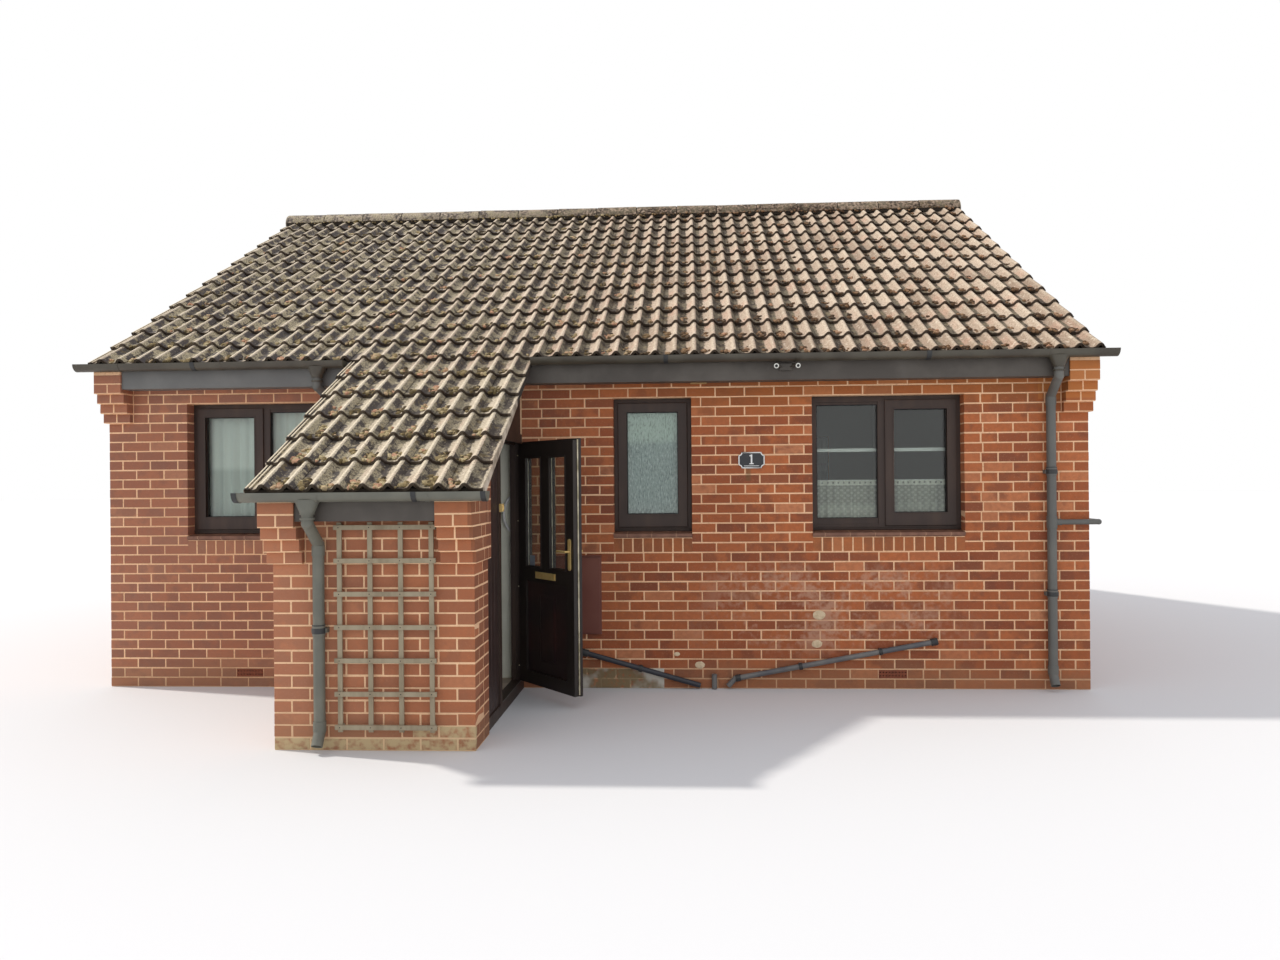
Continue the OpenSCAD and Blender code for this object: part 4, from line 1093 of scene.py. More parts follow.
@dataclass
class Elevation:
    """One plane of brickwork, along the width or the depth of the house."""
    along: int
    plane: float
    outward: int
    brick: Pattern
    batch: Batch
    rng: np.random.Generator
    unevenness: float = 0.0007
    forward: float = 0.4
    rounding: float = 0.02
    sanding: float = 0.2 * MM
    shortfall: float = 0.015
    sliver: float = 0.012
    stub: float = 0.05
    divide: float = 0.16

    def lay(self, span: Span, rise: Span, depth: float = HEADER, zone: float = 0.0) -> None:
        """Lay one brick with its face in the plane.

        Args:
            span: Its two ends along the wall.
            rise: Its bed and its top.
            depth: How far it goes into the wall.
            zone: Share for the finish's third tone.
        """
        wobble = self.rng.normal(0.0, self.unevenness, 4)
        across = 1 - self.along
        centre, half = np.zeros(3), np.zeros(3)
        centre[self.along] = (span[0] + span[1]) / 2 + wobble[0]
        half[self.along] = (span[1] - span[0]) / 2
        face = self.plane + self.outward * (PROUD + self.forward * abs(wobble[1]))
        back = self.plane - self.outward * depth
        centre[across], half[across] = (face + back) / 2, abs(face - back) / 2
        centre[2], half[2] = (rise[0] + rise[1]) / 2 + wobble[2], (rise[1] - rise[0]) / 2
        self.place(centre, half, np.eye(3), zone)

    def place(self, centre: np.ndarray, half: np.ndarray, turn: np.ndarray, zone: float) -> None:
        """Place one brick.

        Args:
            centre: Its middle.
            half: Half its size on its own axes.
            turn: Rotation of those axes.
            zone: Share for the finish's third tone.
        """
        signs = np.sign(self.brick.points)
        inset = (1.0 - np.abs(self.brick.points)) * signs
        local = signs * half - inset * self.rounding
        local += self.rng.normal(0.0, self.sanding, local.shape)
        tone = np.array([self.rng.random(), self.rng.random(), zone])
        self.batch.lay(self.brick, local @ turn.T + centre, tone)

    def course(self, row: int, start: float, end: float, first: float,
               openings: Iterable[Opening] = (), corners: tuple[bool, bool] = (False, False)) -> None:
        """Lay one course, set out from its start.

        Args:
            row: Number of the course from the ground.
            start: Where it is set out from.
            end: Where it ends, on either side of the start.
            first: Length of the first brick.
            openings: Stretches without bricks.
            corners: Whether its start and its end are corners of the house.
        """
        rise = bed(row)
        way = 1 if end > start else -1
        reach = abs(end - start)
        bricks: list[Span] = []
        at, length = 0.0, first
        while at < reach - 2 * JOINT:
            bricks.append((at, at + length))
            at += length + JOINT
            length = STRETCHER
        bricks[-1] = bricks[-1][0], reach
        for left, right in sorted(ordered((o.start - start) * way, (o.end - start) * way)
                                  for o in openings if o.crosses(*rise)):
            bricks = [part for brick in bricks for part in self._stopped(brick, left, right)]
        for a, b in self._closers(bricks):
            turned = corners[0] and a == 0.0, corners[1] and b == reach
            depth = STRETCHER if any(turned) and b - a < STRETCHER - self.shortfall else HEADER
            self.lay(ordered(start + way * (a - PROUD * turned[0]), start + way * (b + PROUD * turned[1])),
                     rise, depth)

    @staticmethod
    def _stopped(brick: Span, left: float, right: float) -> list[Span]:
        """Stop a brick at an opening.

        Args:
            brick: Its two ends.
            left: Start of the opening.
            right: End of the opening.

        Returns:
            What is left of the brick, in up to two parts.
        """
        a, b = brick
        if b <= left or a >= right:
            return [brick]
        ends = (a, left + PROUD), (right - PROUD, b)
        return [end for end, stays in zip(ends, (a < left, b > right)) if stays]

    def _closers(self, bricks: list[Span]) -> list[Span]:
        """Share a sliver at a jamb with the brick beside it.

        Args:
            bricks: Both ends of each brick of a course.

        Returns:
            The course without slivers.
        """
        done: list[Span] = []
        for a, b in bricks:
            beside = bool(done) and a - done[-1][1] < 2 * JOINT
            if beside and min(b - a, done[-1][1] - done[-1][0]) < self.stub:
                start = done.pop()[0]
                middle = (start + b) / 2
                if b - start > self.divide:
                    done += [(start, middle - JOINT / 2), (middle + JOINT / 2, b)]
                else:
                    done.append((start, b))
            elif b - a > self.sliver:
                done.append((a, b))
        return done

    def on_edge(self, start: float, end: float, rise: Span) -> None:
        """Lay bricks on edge beneath a sill.

        Args:
            start: One end of the row.
            end: The other end.
            rise: Their lower and their upper ends.
        """
        count = round((end - start + JOINT) / COURSE)
        pitch = (end - start + JOINT) / count
        for k in range(count):
            at = start + k * pitch
            self.lay((at, at + pitch - JOINT), rise, zone=0.5)


@dataclass
class Masonry:
    """All brickwork of the house, bonded at its corners."""
    porch_x: Span = (-1.708, -0.48)
    porch_y: float = -5.227
    return_y: float = -4.857
    front_ends: Span = (-0.495, -1.708)
    rear_ends: Span = (0.52, 0.51)
    eaves_rows: int = 32
    gable_rows: int = 62
    porch_rows: tuple[int, int] = (19, 34)
    kneeler_row: int = 28
    porch_kneeler_row: int = 15
    kneeler_rows: int = 10
    steps: tuple[float, ...] = (0.04, 0.08, 0.12, 0.16, 0.16)
    side_step: float = 0.022
    kneeler_run: float = 0.45
    above_nose: float = 2.1
    above_porch_nose: float = 1.125
    roof_t: float = 0.082
    clear: float = 0.002
    band: float = 0.215
    band_half: float = 0.051
    band_tone: float = 0.4
    kneeler_tone: float = 0.2
    least_reach: float = 0.15
    gable_gap: float = 0.03
    windows: tuple[Span, ...] = ((-3.183, -2.033), (0.217, 0.827), (1.75, 2.9))
    window_z: Span = (1.05, 2.25)
    edge_z: Span = (1.055, 1.1605)
    air_bricks: Span = (-2.793, 2.24)
    air_brick_x: Span = (-0.006, 0.221)
    air_brick_z: Span = (0.075, 0.15)
    seed: int = 1936

    def __post_init__(self) -> None:
        """Model the one brick that every brick repeats and seed the variation."""
        self.brick = Pattern.taken_from(add_box("brick_pattern", (-1, -1, -1), (1, 1, 1), 0.1))
        self.rng = np.random.default_rng(self.seed)
        self.knee = WALL_Y - self.kneeler_run

    def elevation(self, along: int, plane: float, outward: int, batch: Batch) -> Elevation:
        """Return a plane of brickwork that fills a batch."""
        return Elevation(along, plane, outward, self.brick, batch, self.rng)

    def underside(self, out: float) -> float:
        """Return the height of the tiles' underside at a distance before the front wall."""
        return TILE_LINE - out * TAN_PITCH - self.roof_t

    def openings(self) -> list[Opening]:
        """List the stretches of the long walls without bricks.

        Returns:
            The windows with their bricks on edge, the air bricks and the noses of the kneelers.
        """
        inner = WALL_X + self.side_step - STRETCHER - JOINT
        left, right = self.air_brick_x
        return ([Opening(*span, *self.window_z) for span in self.windows]
                + [Opening(x + left, x + right, *self.air_brick_z) for x in self.air_bricks]
                + [Opening(*ordered(side * inner, side * BEYOND), self.above_nose, BEYOND)
                   for side in (-1, 1)])

    def long_wall(self, name: str, rear: int, ends: Span) -> None:
        """Lay the front or the rear wall, set out from both of its corners.

        Args:
            name: The piece's name.
            rear: -1 for the front, 1 for the rear.
            ends: Where the courses from the right and from the left end.
        """
        wall, openings = self.elevation(0, rear * WALL_Y, rear, Batch(name)), self.openings()
        for row in range(self.eaves_rows):
            even = row % 2 == 0
            firsts = (HEADER, STRETCHER) if even == (rear < 0) else (STRETCHER, HEADER)
            for start, end, first in zip((WALL_X, -WALL_X), ends, firsts):
                wall.course(row, start, end, first, openings, (True, False))
        for start, end in self.windows:
            wall.on_edge(start, end, self.edge_z)
        for side in (-1, 1):
            self.kneeler(wall.batch, (side * (WALL_X + self.side_step), rear * WALL_Y), (side, rear),
                         self.kneeler_row, rear * self.knee, JOINT)
        self.finish(wall.batch)

    def kneeler(self, batch: Batch, corner: Span, ways: tuple[int, int], lowest: int, end: float,
                tuck: float = 0.0) -> None:
        """Lay the corbelled courses at one end of the eaves, to be cut to the tiles.

        Args:
            batch: The bricks of the wall.
            corner: Places of the kneeler's outer face and of the wall behind its nose.
            ways: -1 or 1 for its end of the wall, and for the side that the wall faces.
            lowest: Its lowest course.
            end: Where its courses end along the side of the house.
            tuck: How far the courses above the nose stand back.
        """
        (outer, wall), (side, out) = corner, ways
        proud, inner = outer + side * PROUD, outer - side * STRETCHER
        inside, middle = inner - side * PROUD, (outer + inner) / 2
        flank = self.elevation(1, outer, side, batch)
        for step in range(self.kneeler_rows):
            row = lowest + step
            plane = wall + out * self.steps[min(step, 4)]
            nose = self.elevation(0, plane, out, batch)
            back = tuck
            if step < 4:
                for a, b in ((proud, middle + side * JOINT / 2), (middle - side * JOINT / 2, inside)):
                    nose.lay(ordered(a, b), bed(row), STRETCHER, self.kneeler_tone)
                back = STRETCHER + JOINT
            elif step == 4:
                nose.lay(ordered(proud, inside), bed(row), HEADER, self.kneeler_tone)
                back = HEADER + JOINT
            flank.course(row, plane - out * back, end, STRETCHER if step % 2 else HEADER)

    def porch(self) -> None:
        """Lay the porch walls with their small kneelers."""
        batch = Batch("porch_bricks")
        left, right = self.porch_x
        front = self.elevation(0, self.porch_y, -1, batch)
        side, back = self.elevation(1, left, -1, batch), self.elevation(1, right, 1, batch)
        inner = STRETCHER - self.side_step + JOINT
        above = [Opening(left - 1, left + inner, self.above_porch_nose, BEYOND),
                 Opening(right - inner, right + 1, self.above_porch_nose, BEYOND)]
        front_rows, side_rows = self.porch_rows
        for row in range(front_rows):
            front.course(row, left, right, HEADER if row % 2 else STRETCHER, above, (True, True))
        for row in range(side_rows):
            near, far = (STRETCHER, HEADER) if row % 2 else (HEADER, STRETCHER)
            low = row < self.porch_kneeler_row
            side.course(row, self.porch_y + near + JOINT if low else self.return_y, -WALL_Y, STRETCHER)
            if low:
                back.course(row, self.porch_y + far + JOINT, self.return_y, STRETCHER)
        for way, edge in ((-1, left), (1, right)):
            self.kneeler(batch, (edge + way * self.side_step, self.porch_y), (way, -1),
                         self.porch_kneeler_row, self.return_y)
        obj = dress(batch.build(), Finish.BRICK)
        height = self.underside(-WALL_Y - self.porch_y) - self.clear
        cut(obj, (0, self.porch_y, height), (0, -TAN_PITCH, 1))

    def gables(self) -> None:
        """Lay both gable walls below their bands of bricks on end."""
        batch = Batch("gable_bricks")
        for side in (-1, 1):
            wall = self.elevation(1, side * WALL_X, side, batch)
            for row in range(self.gable_rows):
                odd = (row % 2) == (side > 0)
                near, far = (HEADER, STRETCHER) if odd else (STRETCHER, HEADER)
                sloped = []
                if row >= self.kneeler_row:
                    rise = self.underside(-WALL_Y) - self.gable_gap - (row + 1) * COURSE
                    reach = min(self.knee - JOINT, rise / TAN_PITCH)
                    if reach < self.least_reach:
                        break
                    sloped = [Opening(-BEYOND, -reach, 0, BEYOND), Opening(reach, BEYOND, 0, BEYOND)]
                wall.course(row, -WALL_Y + near + JOINT, WALL_Y - far - JOINT, STRETCHER, sloped)
        self.finish(batch)

    def verge_bands(self) -> None:
        """Lay the bands of bricks on end that follow the four verges."""
        pieces = []
        apex = np.array([0.0, 0.0, self.underside(-WALL_Y)])
        half = np.array([self.band_half, (COURSE - JOINT) / 2, self.band / 2 - self.clear])
        for side in (-1, 1):
            for rear in (-1, 1):
                face = side * (WALL_X + self.side_step)
                wall = self.elevation(1, face, side, Batch("band"))
                turn = np.array(Matrix.Rotation(-rear * PITCH, 3, "X"))
                along, square = turn[:, 1] * rear, turn[:, 2]
                for k in range(-3, math.ceil(self.knee / COS_PITCH / COURSE) + 4):
                    spot = apex + along * (k + 0.5) * COURSE - square * (self.band / 2)
                    spot[0] = face + side * (PROUD - half[0])
                    wall.place(spot, half, turn, self.band_tone)
                band = wall.batch.build()
                cut(band, (0, 0, 0), (0, -rear, 0))
                cut(band, (0, rear * (self.knee - 2 * self.clear), 0), (0, rear, 0))
                pieces.append(band)
        dress(join("verge_band_bricks", pieces), Finish.BRICK)

    def finish(self, batch: Batch) -> None:
        """Build the bricks of a wall and cut what stands above the main slopes.

        Args:
            batch: The bricks.
        """
        obj = dress(batch.build(), Finish.BRICK)
        for rear in (-1, 1):
            cut(obj, (0, rear * WALL_Y, self.underside(0.0) - self.clear), (0, rear * TAN_PITCH, 1))

    def build(self) -> None:
        """Lay every wall and coat the CAD walls behind them with mortar."""
        self.long_wall("front_bricks", -1, self.front_ends)
        self.porch()
        self.gables()
        self.verge_bands()
        self.long_wall("rear_bricks", 1, self.rear_ends)
        coat(Finish.MORTAR, "front_wall_left", "front_wall_right", "wall_over_hall", "gable_wall_left",
             "gable_wall_right", "rear_wall", "porch_front_wall", "porch_side_wall", "porch_return")


# Roof


@dataclass
class Pantiles:
    """Double-roll tiles on the two main slopes and over the porch."""
    columns: int = 26
    rows: int = 13
    porch_columns: tuple[int, int] = (14, 19)
    porch_rows: int = 6
    porch_verges: Span = (-1.803, -0.385)
    gauge: float = 0.3290
    cover: float = 0.29923
    width: float = 0.2992
    verge_x: float = 3.89
    fall: float = 0.024
    thickness: float = 0.013
    nose: float = 0.018
    lap: float = 0.045
    nose_past: float = 0.006
    bed_drop: float = 0.018
    middle: float = 0.15
    unevenness: tuple[float, ...] = (1.5 * MM, MM, 0.8 * MM, 1.2 * MM, 0.0)
    # Sections of the plain tile and of the ribbed verge tile: place across and height in mm, and each
    # point's share of painted sunlight, near 1 on the left flanks and crests and 0 on the right flanks,
    # where the finish paints shade.
    profile: tuple[Point, ...] = (
        (0, 0, 0.0), (52, 0, 0.85), (72, 6, 0.93), (87, 24, 0.97), (97, 34, 1.0),
        (110, 37.5, 1.0), (120, 34, 0.75), (130, 24, 0.15), (146, 6, 0.0), (164, 0, 0.0),
        (206, 0, 0.85), (222, 6, 0.93), (237, 24, 0.97), (247, 34, 1.0), (260, 37.5, 1.0),
        (270, 34, 0.75), (280, 24, 0.15), (293, 7, 0.0), (299.2, 3, 0.0))
    ribs: tuple[Point, ...] = (
        (0, 0, 0.3), (4, 10, 1.0), (12, 10, 1.0), (15, 1, 0.0), (25, 1, 0.0), (28, 10, 1.0),
        (36, 10, 1.0), (39, 0, 0.2))
    seed: int = 37

    def __post_init__(self) -> None:
        """Model the tile that the roof repeats and its ribbed verge tile, and seed the variation."""
        self.rng = np.random.default_rng(self.seed)
        self.sections = (self.profile, self.ribs + self.profile[1:])
        self.tiles = [self.model_tile(section) for section in self.sections]

    def model_tile(self, section: tuple[Point, ...]) -> Pattern:
        """Model one tile, its section drawn by extruding an edge across it.

        Args:
            section: Place across and height of each point in mm, and its share of painted sunlight.

        Returns:
            Its shape, with the head at 0 and the nose at 1 down the slope.
        """
        obj = primitive(bpy.ops.mesh.primitive_plane_add, size=1.0)
        with editing(obj, "EDGE", whole=True):
            bpy.ops.mesh.delete(type="ONLY_FACE")
        choose(obj, "EDGE", lambda middle, way: middle.x > 0 or abs(way.x) > 0.5)
        with editing(obj, "EDGE"):
            bpy.ops.mesh.delete(type="EDGE")
            select_all()
            bpy.ops.transform.translate(value=(0.5, -0.5, 0.0))
        for (x0, z0, _), (x1, z1, _) in zip(section, section[1:]):
            choose(obj, "EDGE", lambda middle, way, x=x0: abs(middle.x - x * MM) < 0.01 * MM)
            with editing(obj, "EDGE"):
                extrude(((x1 - x0) * MM, 0, (z1 - z0) * MM))
        face_out(obj)
        if obj.data.polygons[0].normal.z < 0:
            with editing(obj, whole=True):
                bpy.ops.mesh.flip_normals()
        apply_modifier(obj, "SOLIDIFY", thickness=self.nose, offset=-1.0)
        return Pattern.taken_from(obj)

    def on_slope(self, rear: int, across: np.ndarray, down: np.ndarray, out: np.ndarray) -> np.ndarray:
        """Turn places on a main slope into points.

        Args:
            rear: -1 for the front slope, 1 for the rear.
            across: Places to the right as seen from the eaves.
            down: Distances down from the apex.
            out: Heights square to the slope.

        Returns:
            The points.
        """
        return np.stack([-rear * across, rear * (down * COS_PITCH + out * SIN_PITCH),
                         APEX - down * SIN_PITCH + out * COS_PITCH], axis=1)

    def lay_tile(self, batch: Batch, column: int, row: int, rear: int, verge: bool) -> None:
        """Lay one tile.

        Args:
            batch: The slope's tiles.
            column: Number of its column, 0 at the right as seen from the eaves.
            row: Number of its course, 1 at the ridge.
            rear: -1 for the front slope, 1 for the rear.
            verge: Whether its ribbed side edge shows at a verge.
        """
        along, dip, tilt, aside, _ = self.rng.normal(0.0, 1.0, 5) * self.unevenness
        tile, table = self.tiles[verge], np.array(self.sections[verge])
        across, down, lift = tile.points[:, 0], -tile.points[:, 1], tile.points[:, 2]
        # Each point's share of painted sunlight, read from the section's third column; the finish paints
        # shade where it is low.
        worn_and_lit = np.interp(across / MM, table[:, 0], table[:, 2])
        run = down * (self.gauge + self.lap + self.nose_past) - self.lap
        out = -self.fall * (1 - run / self.gauge) - self.thickness + lift
        out += dip * down + tilt * (across - self.middle) / self.middle
        points = self.on_slope(rear,
                               self.verge_x - column * self.cover - self.width + across + aside,
                               (row - 1) * self.gauge + run + along, out)
        batch.lay(tile, points, np.stack([np.full(len(run), self.rng.random()), down, worn_and_lit], axis=1))

    def lay_slope(self, name: str, rear: int, rows: range, columns: range) -> Object:
        """Lay the tiles of one slope and shade them smooth over the rolls.

        Args:
            name: The piece's name.
            rear: -1 for the front, 1 for the rear.
            rows: Its courses.
            columns: Its columns, the last one at a verge.

        Returns:
            The tiles.
        """
        batch = Batch(name)
        for row in rows:
            for column in columns:
                self.lay_tile(batch, column, row, rear, column == columns[-1])
        obj = dress(batch.build(), Finish.TILE)
        smooth(obj, 50)
        return obj

    def lower_bed(self, node: str, rear: int) -> None:
        """Stand in a lowered copy of a CAD slope under the tiles.

        Args:
            node: The CAD slope.
            rear: -1 for the front, 1 for the rear.
        """
        obj = node_copy(node, node + "_bed")
        with editing(obj, whole=True):
            bpy.ops.transform.translate(value=Vector((0, rear * SIN_PITCH, COS_PITCH)) * -self.bed_drop)
        dress(obj, Finish.BED)
        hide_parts(node)

    def build(self) -> None:
        """Lay all slopes and their beds."""
        for name, rear in (("front_tiles", -1), ("rear_tiles", 1)):
            self.lay_slope(name, rear, range(1, self.rows + 1), range(self.columns))
        porch = self.lay_slope("porch_tiles", -1, range(self.rows + 1, self.rows + self.porch_rows + 1),
                               range(*self.porch_columns))
        for x, side in zip(self.porch_verges, (-1, 1)):
            cut(porch, (x, 0, 0), (side, 0, 0))
        for node, rear in (("roof_front", -1), ("roof_rear", 1), ("roof_porch", -1)):
            self.lower_bed(node, rear)


@dataclass
class Ridge:
    """Half-round ridge tiles, butted with mortar."""
    count: int = 17
    radius: float = 0.130
    thickness: float = 0.016
    gap: float = 0.009
    half_w: float = 3.888
    plug: Span = (3.84, 3.884)
    plug_depth: float = 0.03
    foot: float = 0.012
    rounding: float = 0.004
    unevenness: tuple[float, ...] = (1.5 * MM, 6 * MM, 1.5 * MM, 0.0)
    centre_z: float = APEX - 0.062
    seed: int = 5

    def tile(self, length: float) -> Pattern:
        """Model one ridge tile.

        Args:
            length: Its length.

        Returns:
            Its shape.
        """
        obj = primitive(bpy.ops.mesh.primitive_cylinder_add, vertices=36, radius=self.radius,
                        depth=length, end_fill_type="NOTHING", rotation=(0, math.pi / 2, 0))
        settle(obj, "ridge_pattern")
        with editing(obj, whole=True):
            bpy.ops.mesh.bisect(plane_co=(0, 0, self.foot), plane_no=(0, 0, -1), clear_outer=True)
        apply_modifier(obj, "SOLIDIFY", thickness=self.thickness, offset=-1.0)
        choose(obj, "EDGE", lambda middle, way: abs(way.x) < 0.2 and abs(middle.x) > length * 0.49)
        with editing(obj, "EDGE"):
            bpy.ops.mesh.bevel(offset=self.rounding, segments=1, affect="EDGES")
        return Pattern.taken_from(obj)

    def plugs(self) -> None:
        """Fill the two ends of the row with cement."""
        made = []
        for side in (-1, 1):
            inner, outer = ((side * x, 0, self.centre_z) for x in self.plug)
            plug = add_rod("ridge_plug", inner, outer, self.radius - self.thickness + MM, 32, 3 * MM)
            cut(plug, (0, 0, self.centre_z - self.plug_depth), (0, 0, -1))
            made.append(plug)
        dress(join("ridge_plugs", made), Finish.CEMENT)

    def build(self) -> None:
        """Lay the row of ridge tiles, plug its ends and coat what lies beneath."""
        length = 2 * self.half_w / self.count - self.gap
        tile, rng, batch = self.tile(length), np.random.default_rng(self.seed), Batch("ridge_row")
        for k in range(self.count):
            lift, tilt, aside, _ = rng.normal(0.0, 1.0, 4) * self.unevenness
            points = tile.points.copy()
            points[:, 2] += self.centre_z + lift + points[:, 0] * tilt
            points[:, 1] += aside
            points[:, 0] += -self.half_w + (k + 0.5) * (length + self.gap)
            # Blue 0.6 gives the ridge tiles a middling share of painted sunlight, so the finish paints some
            # shade on them; green 0.5 keeps the painted nose shade off.
            batch.lay(tile, points, np.array([rng.random() * 0.6, 0.5, 0.6]))
        smooth(dress(batch.build(), Finish.TILE), 35)
        self.plugs()
        coat(Finish.BED, "ridge_tiles")
        coat(Finish.CEMENT, "verge_undercloaks")


@dataclass
class Moss:
    """Tufts of moss in the pans of the tiles, thickest low on the slopes."""
    roof: Pantiles
    tufts: int = 1250
    ridge_clumps: int = 500
    size: Point = (0.019, 0.017, 0.012)
    pans: Span = (0.108, 0.258)
    inside_x: float = 3.84
    porch_x: Span = (-1.74, -0.45)
    on_porch: float = 0.17
    on_rear: float = 0.25
    off_pan: float = 10 * MM
    back: Span = (50 * MM, 14 * MM)
    spread: Span = (18 * MM, 22 * MM)
    least_back: float = 6 * MM
    handful: tuple[int, int, int] = (2, 8, 13)
    ridge_x: float = 3.8
    ridge_down: Span = (0.118, 0.150)
    ridge_lift: Span = (0.012, 0.040)
    seed: int = 11

    def __post_init__(self) -> None:
        """Model the clump that every clump repeats and seed the variation."""
        obj = primitive(bpy.ops.mesh.primitive_ico_sphere_add, subdivisions=1, radius=1.0)
        with editing(obj, whole=True):
            bpy.ops.transform.vertex_random(offset=0.15, seed=3)
        self.clump = Pattern.taken_from(obj)
        self.rng = np.random.default_rng(self.seed)
        self.batch = Batch("moss_clumps")

    def lay_tuft(self) -> None:
        """Lay a handful of clumps in a pan behind a tile's nose."""
        rng, roof = self.rng, self.roof
        porch = rng.random() < self.on_porch
        rear = 1 if not porch and rng.random() < self.on_rear else -1
        row = roof.rows + rng.integers(1, 7) if porch else 1 + int(roof.rows * rng.random() ** 0.6)
        column = rng.integers(*roof.porch_columns) if porch else rng.integers(0, roof.columns)
        pan = rng.choice(self.pans) + rng.normal(0.0, self.off_pan)
        x = roof.verge_x - column * roof.cover - pan
        if abs(x) >= self.inside_x or (porch and not self.porch_x[0] < x < self.porch_x[1]):
            return
        back = abs(rng.normal(0.0, self.back[0])) + self.back[1]
        tone = rng.random() * (0.8 if x > 0.5 else 1.0)
        few, some, many = self.handful
        for _ in range(rng.integers(few, some if row < roof.rows - 1 else many)):
            spot = (x + rng.normal(0.0, self.spread[0]), row * roof.gauge,
                    max(self.least_back, back + rng.normal(0.0, self.spread[1])))
            self.lay_clump(spot, rear, np.clip(tone + rng.normal(0.0, 0.2), 0.0, 1.0))

    def lay_clump(self, spot: Point, rear: int, tone: float, lift: float = 4 * MM) -> None:
        """Lay one misshapen copy of the clump.

        Args:
            spot: Place across, of the nose down the slope, and back from that nose.
            rear: -1 for the front slope, 1 for the rear.
            tone: Its colour, 0 for dark green to 1 for pink.
            lift: Its height over the pan.
        """
        x, nose, back = spot
        scale = np.array(self.size) * self.rng.uniform(0.4, 1.2)
        points = self.clump.points
        local = points * (1.0 + self.rng.normal(0.0, 0.2, (len(points), 1))) * scale
        out = -self.roof.fall * back / self.roof.gauge - self.roof.thickness + lift + local[:, 2]
        self.batch.lay(self.clump, self.roof.on_slope(rear, x + local[:, 0], nose - back + local[:, 1], out),
                       np.array([tone, 0.0, 0.0]))

    def build(self) -> None:
        """Scatter the tufts over the slopes and clumps along the ridge."""
        rng = self.rng
        for _ in range(self.tufts):
            self.lay_tuft()
        for _ in range(self.ridge_clumps):
            self.lay_clump((rng.uniform(-self.ridge_x, self.ridge_x), rng.uniform(*self.ridge_down), 0.0),
                           rng.choice([-1, -1, 1]), rng.random() * 0.8, rng.uniform(*self.ridge_lift))
        obj = dress(self.batch.build(), Finish.MOSS)
        face_out(obj)
        smooth(obj, 70)


# Windows


def add_ring(name: str, low: Point, high: Point, width: float) -> Object:
    """Add an upright rectangular ring that faces along the depth of the house.

    Args:
        name: The ring's name.
        low: One corner.
        high: The opposite corner.
        width: Width of its four sides.

    Returns:
        The ring.
    """
    (x0, y0, z0), (x1, y1, z1) = map(min, low, high), map(max, low, high)
    obj = primitive(bpy.ops.mesh.primitive_plane_add, size=1.0, rotation=(math.pi / 2, 0, 0),
                    location=((x0 + x1) / 2, y0, (z0 + z1) / 2))
    obj.scale = (x1 - x0, z1 - z0, 1)
    settle(obj, name)
    with editing(obj, whole=True):
        bpy.ops.mesh.inset(thickness=width)
        bpy.ops.mesh.delete(type="FACE")
        select_all()
        extrude((0, y1 - y0, 0))
    face_out(obj)
    return obj


@dataclass(frozen=True)
class Light:
    """One pane of a window, by its hole in the plain model's frame."""
    x: Span
    opens: bool
    z: Span = (1.302, 2.158)
    casement: tuple[float, ...] = (0.010, -0.014, 0.042, -0.012)
    fixed: tuple[float, ...] = (-0.043, 0.043, 0.0, 0.026)
    edge: float = 0.006
    reach: Span = (0.30, 0.47)

    def moves(self) -> tuple[float, ...]:
        """Return how far the left, right, foot and head of the hole move in the dressed frame."""
        return self.casement if self.opens else self.fixed

    def seen(self) -> tuple[Span, Span]:
        """Return the hole of the dressed frame, across and up."""
        left, right, foot, head = self.moves()
        return (self.x[0] + left, self.x[1] + right), (self.z[0] + foot, self.z[1] + head)

    def reshape(self, obj: Object) -> None:
        """Move the edges of this hole in a copy of a frame or of its glass.

        Args:
            obj: The copy.
        """
        middle_x, middle_z, (reach_x, reach_z) = sum(self.x) / 2, sum(self.z) / 2, self.reach
        for axis, old, step in zip((0, 0, 2, 2), (*self.x, *self.z), self.moves()):
            choose(obj, "VERT", lambda place, _, axis=axis, old=old: (
                abs(place.x - middle_x) < reach_x and abs(place.z - middle_z) < reach_z
                and abs(place[axis] - old) < self.edge))
            with editing(obj, "VERT"):
                bpy.ops.transform.translate(value=[step if k == axis else 0.0 for k in range(3)])


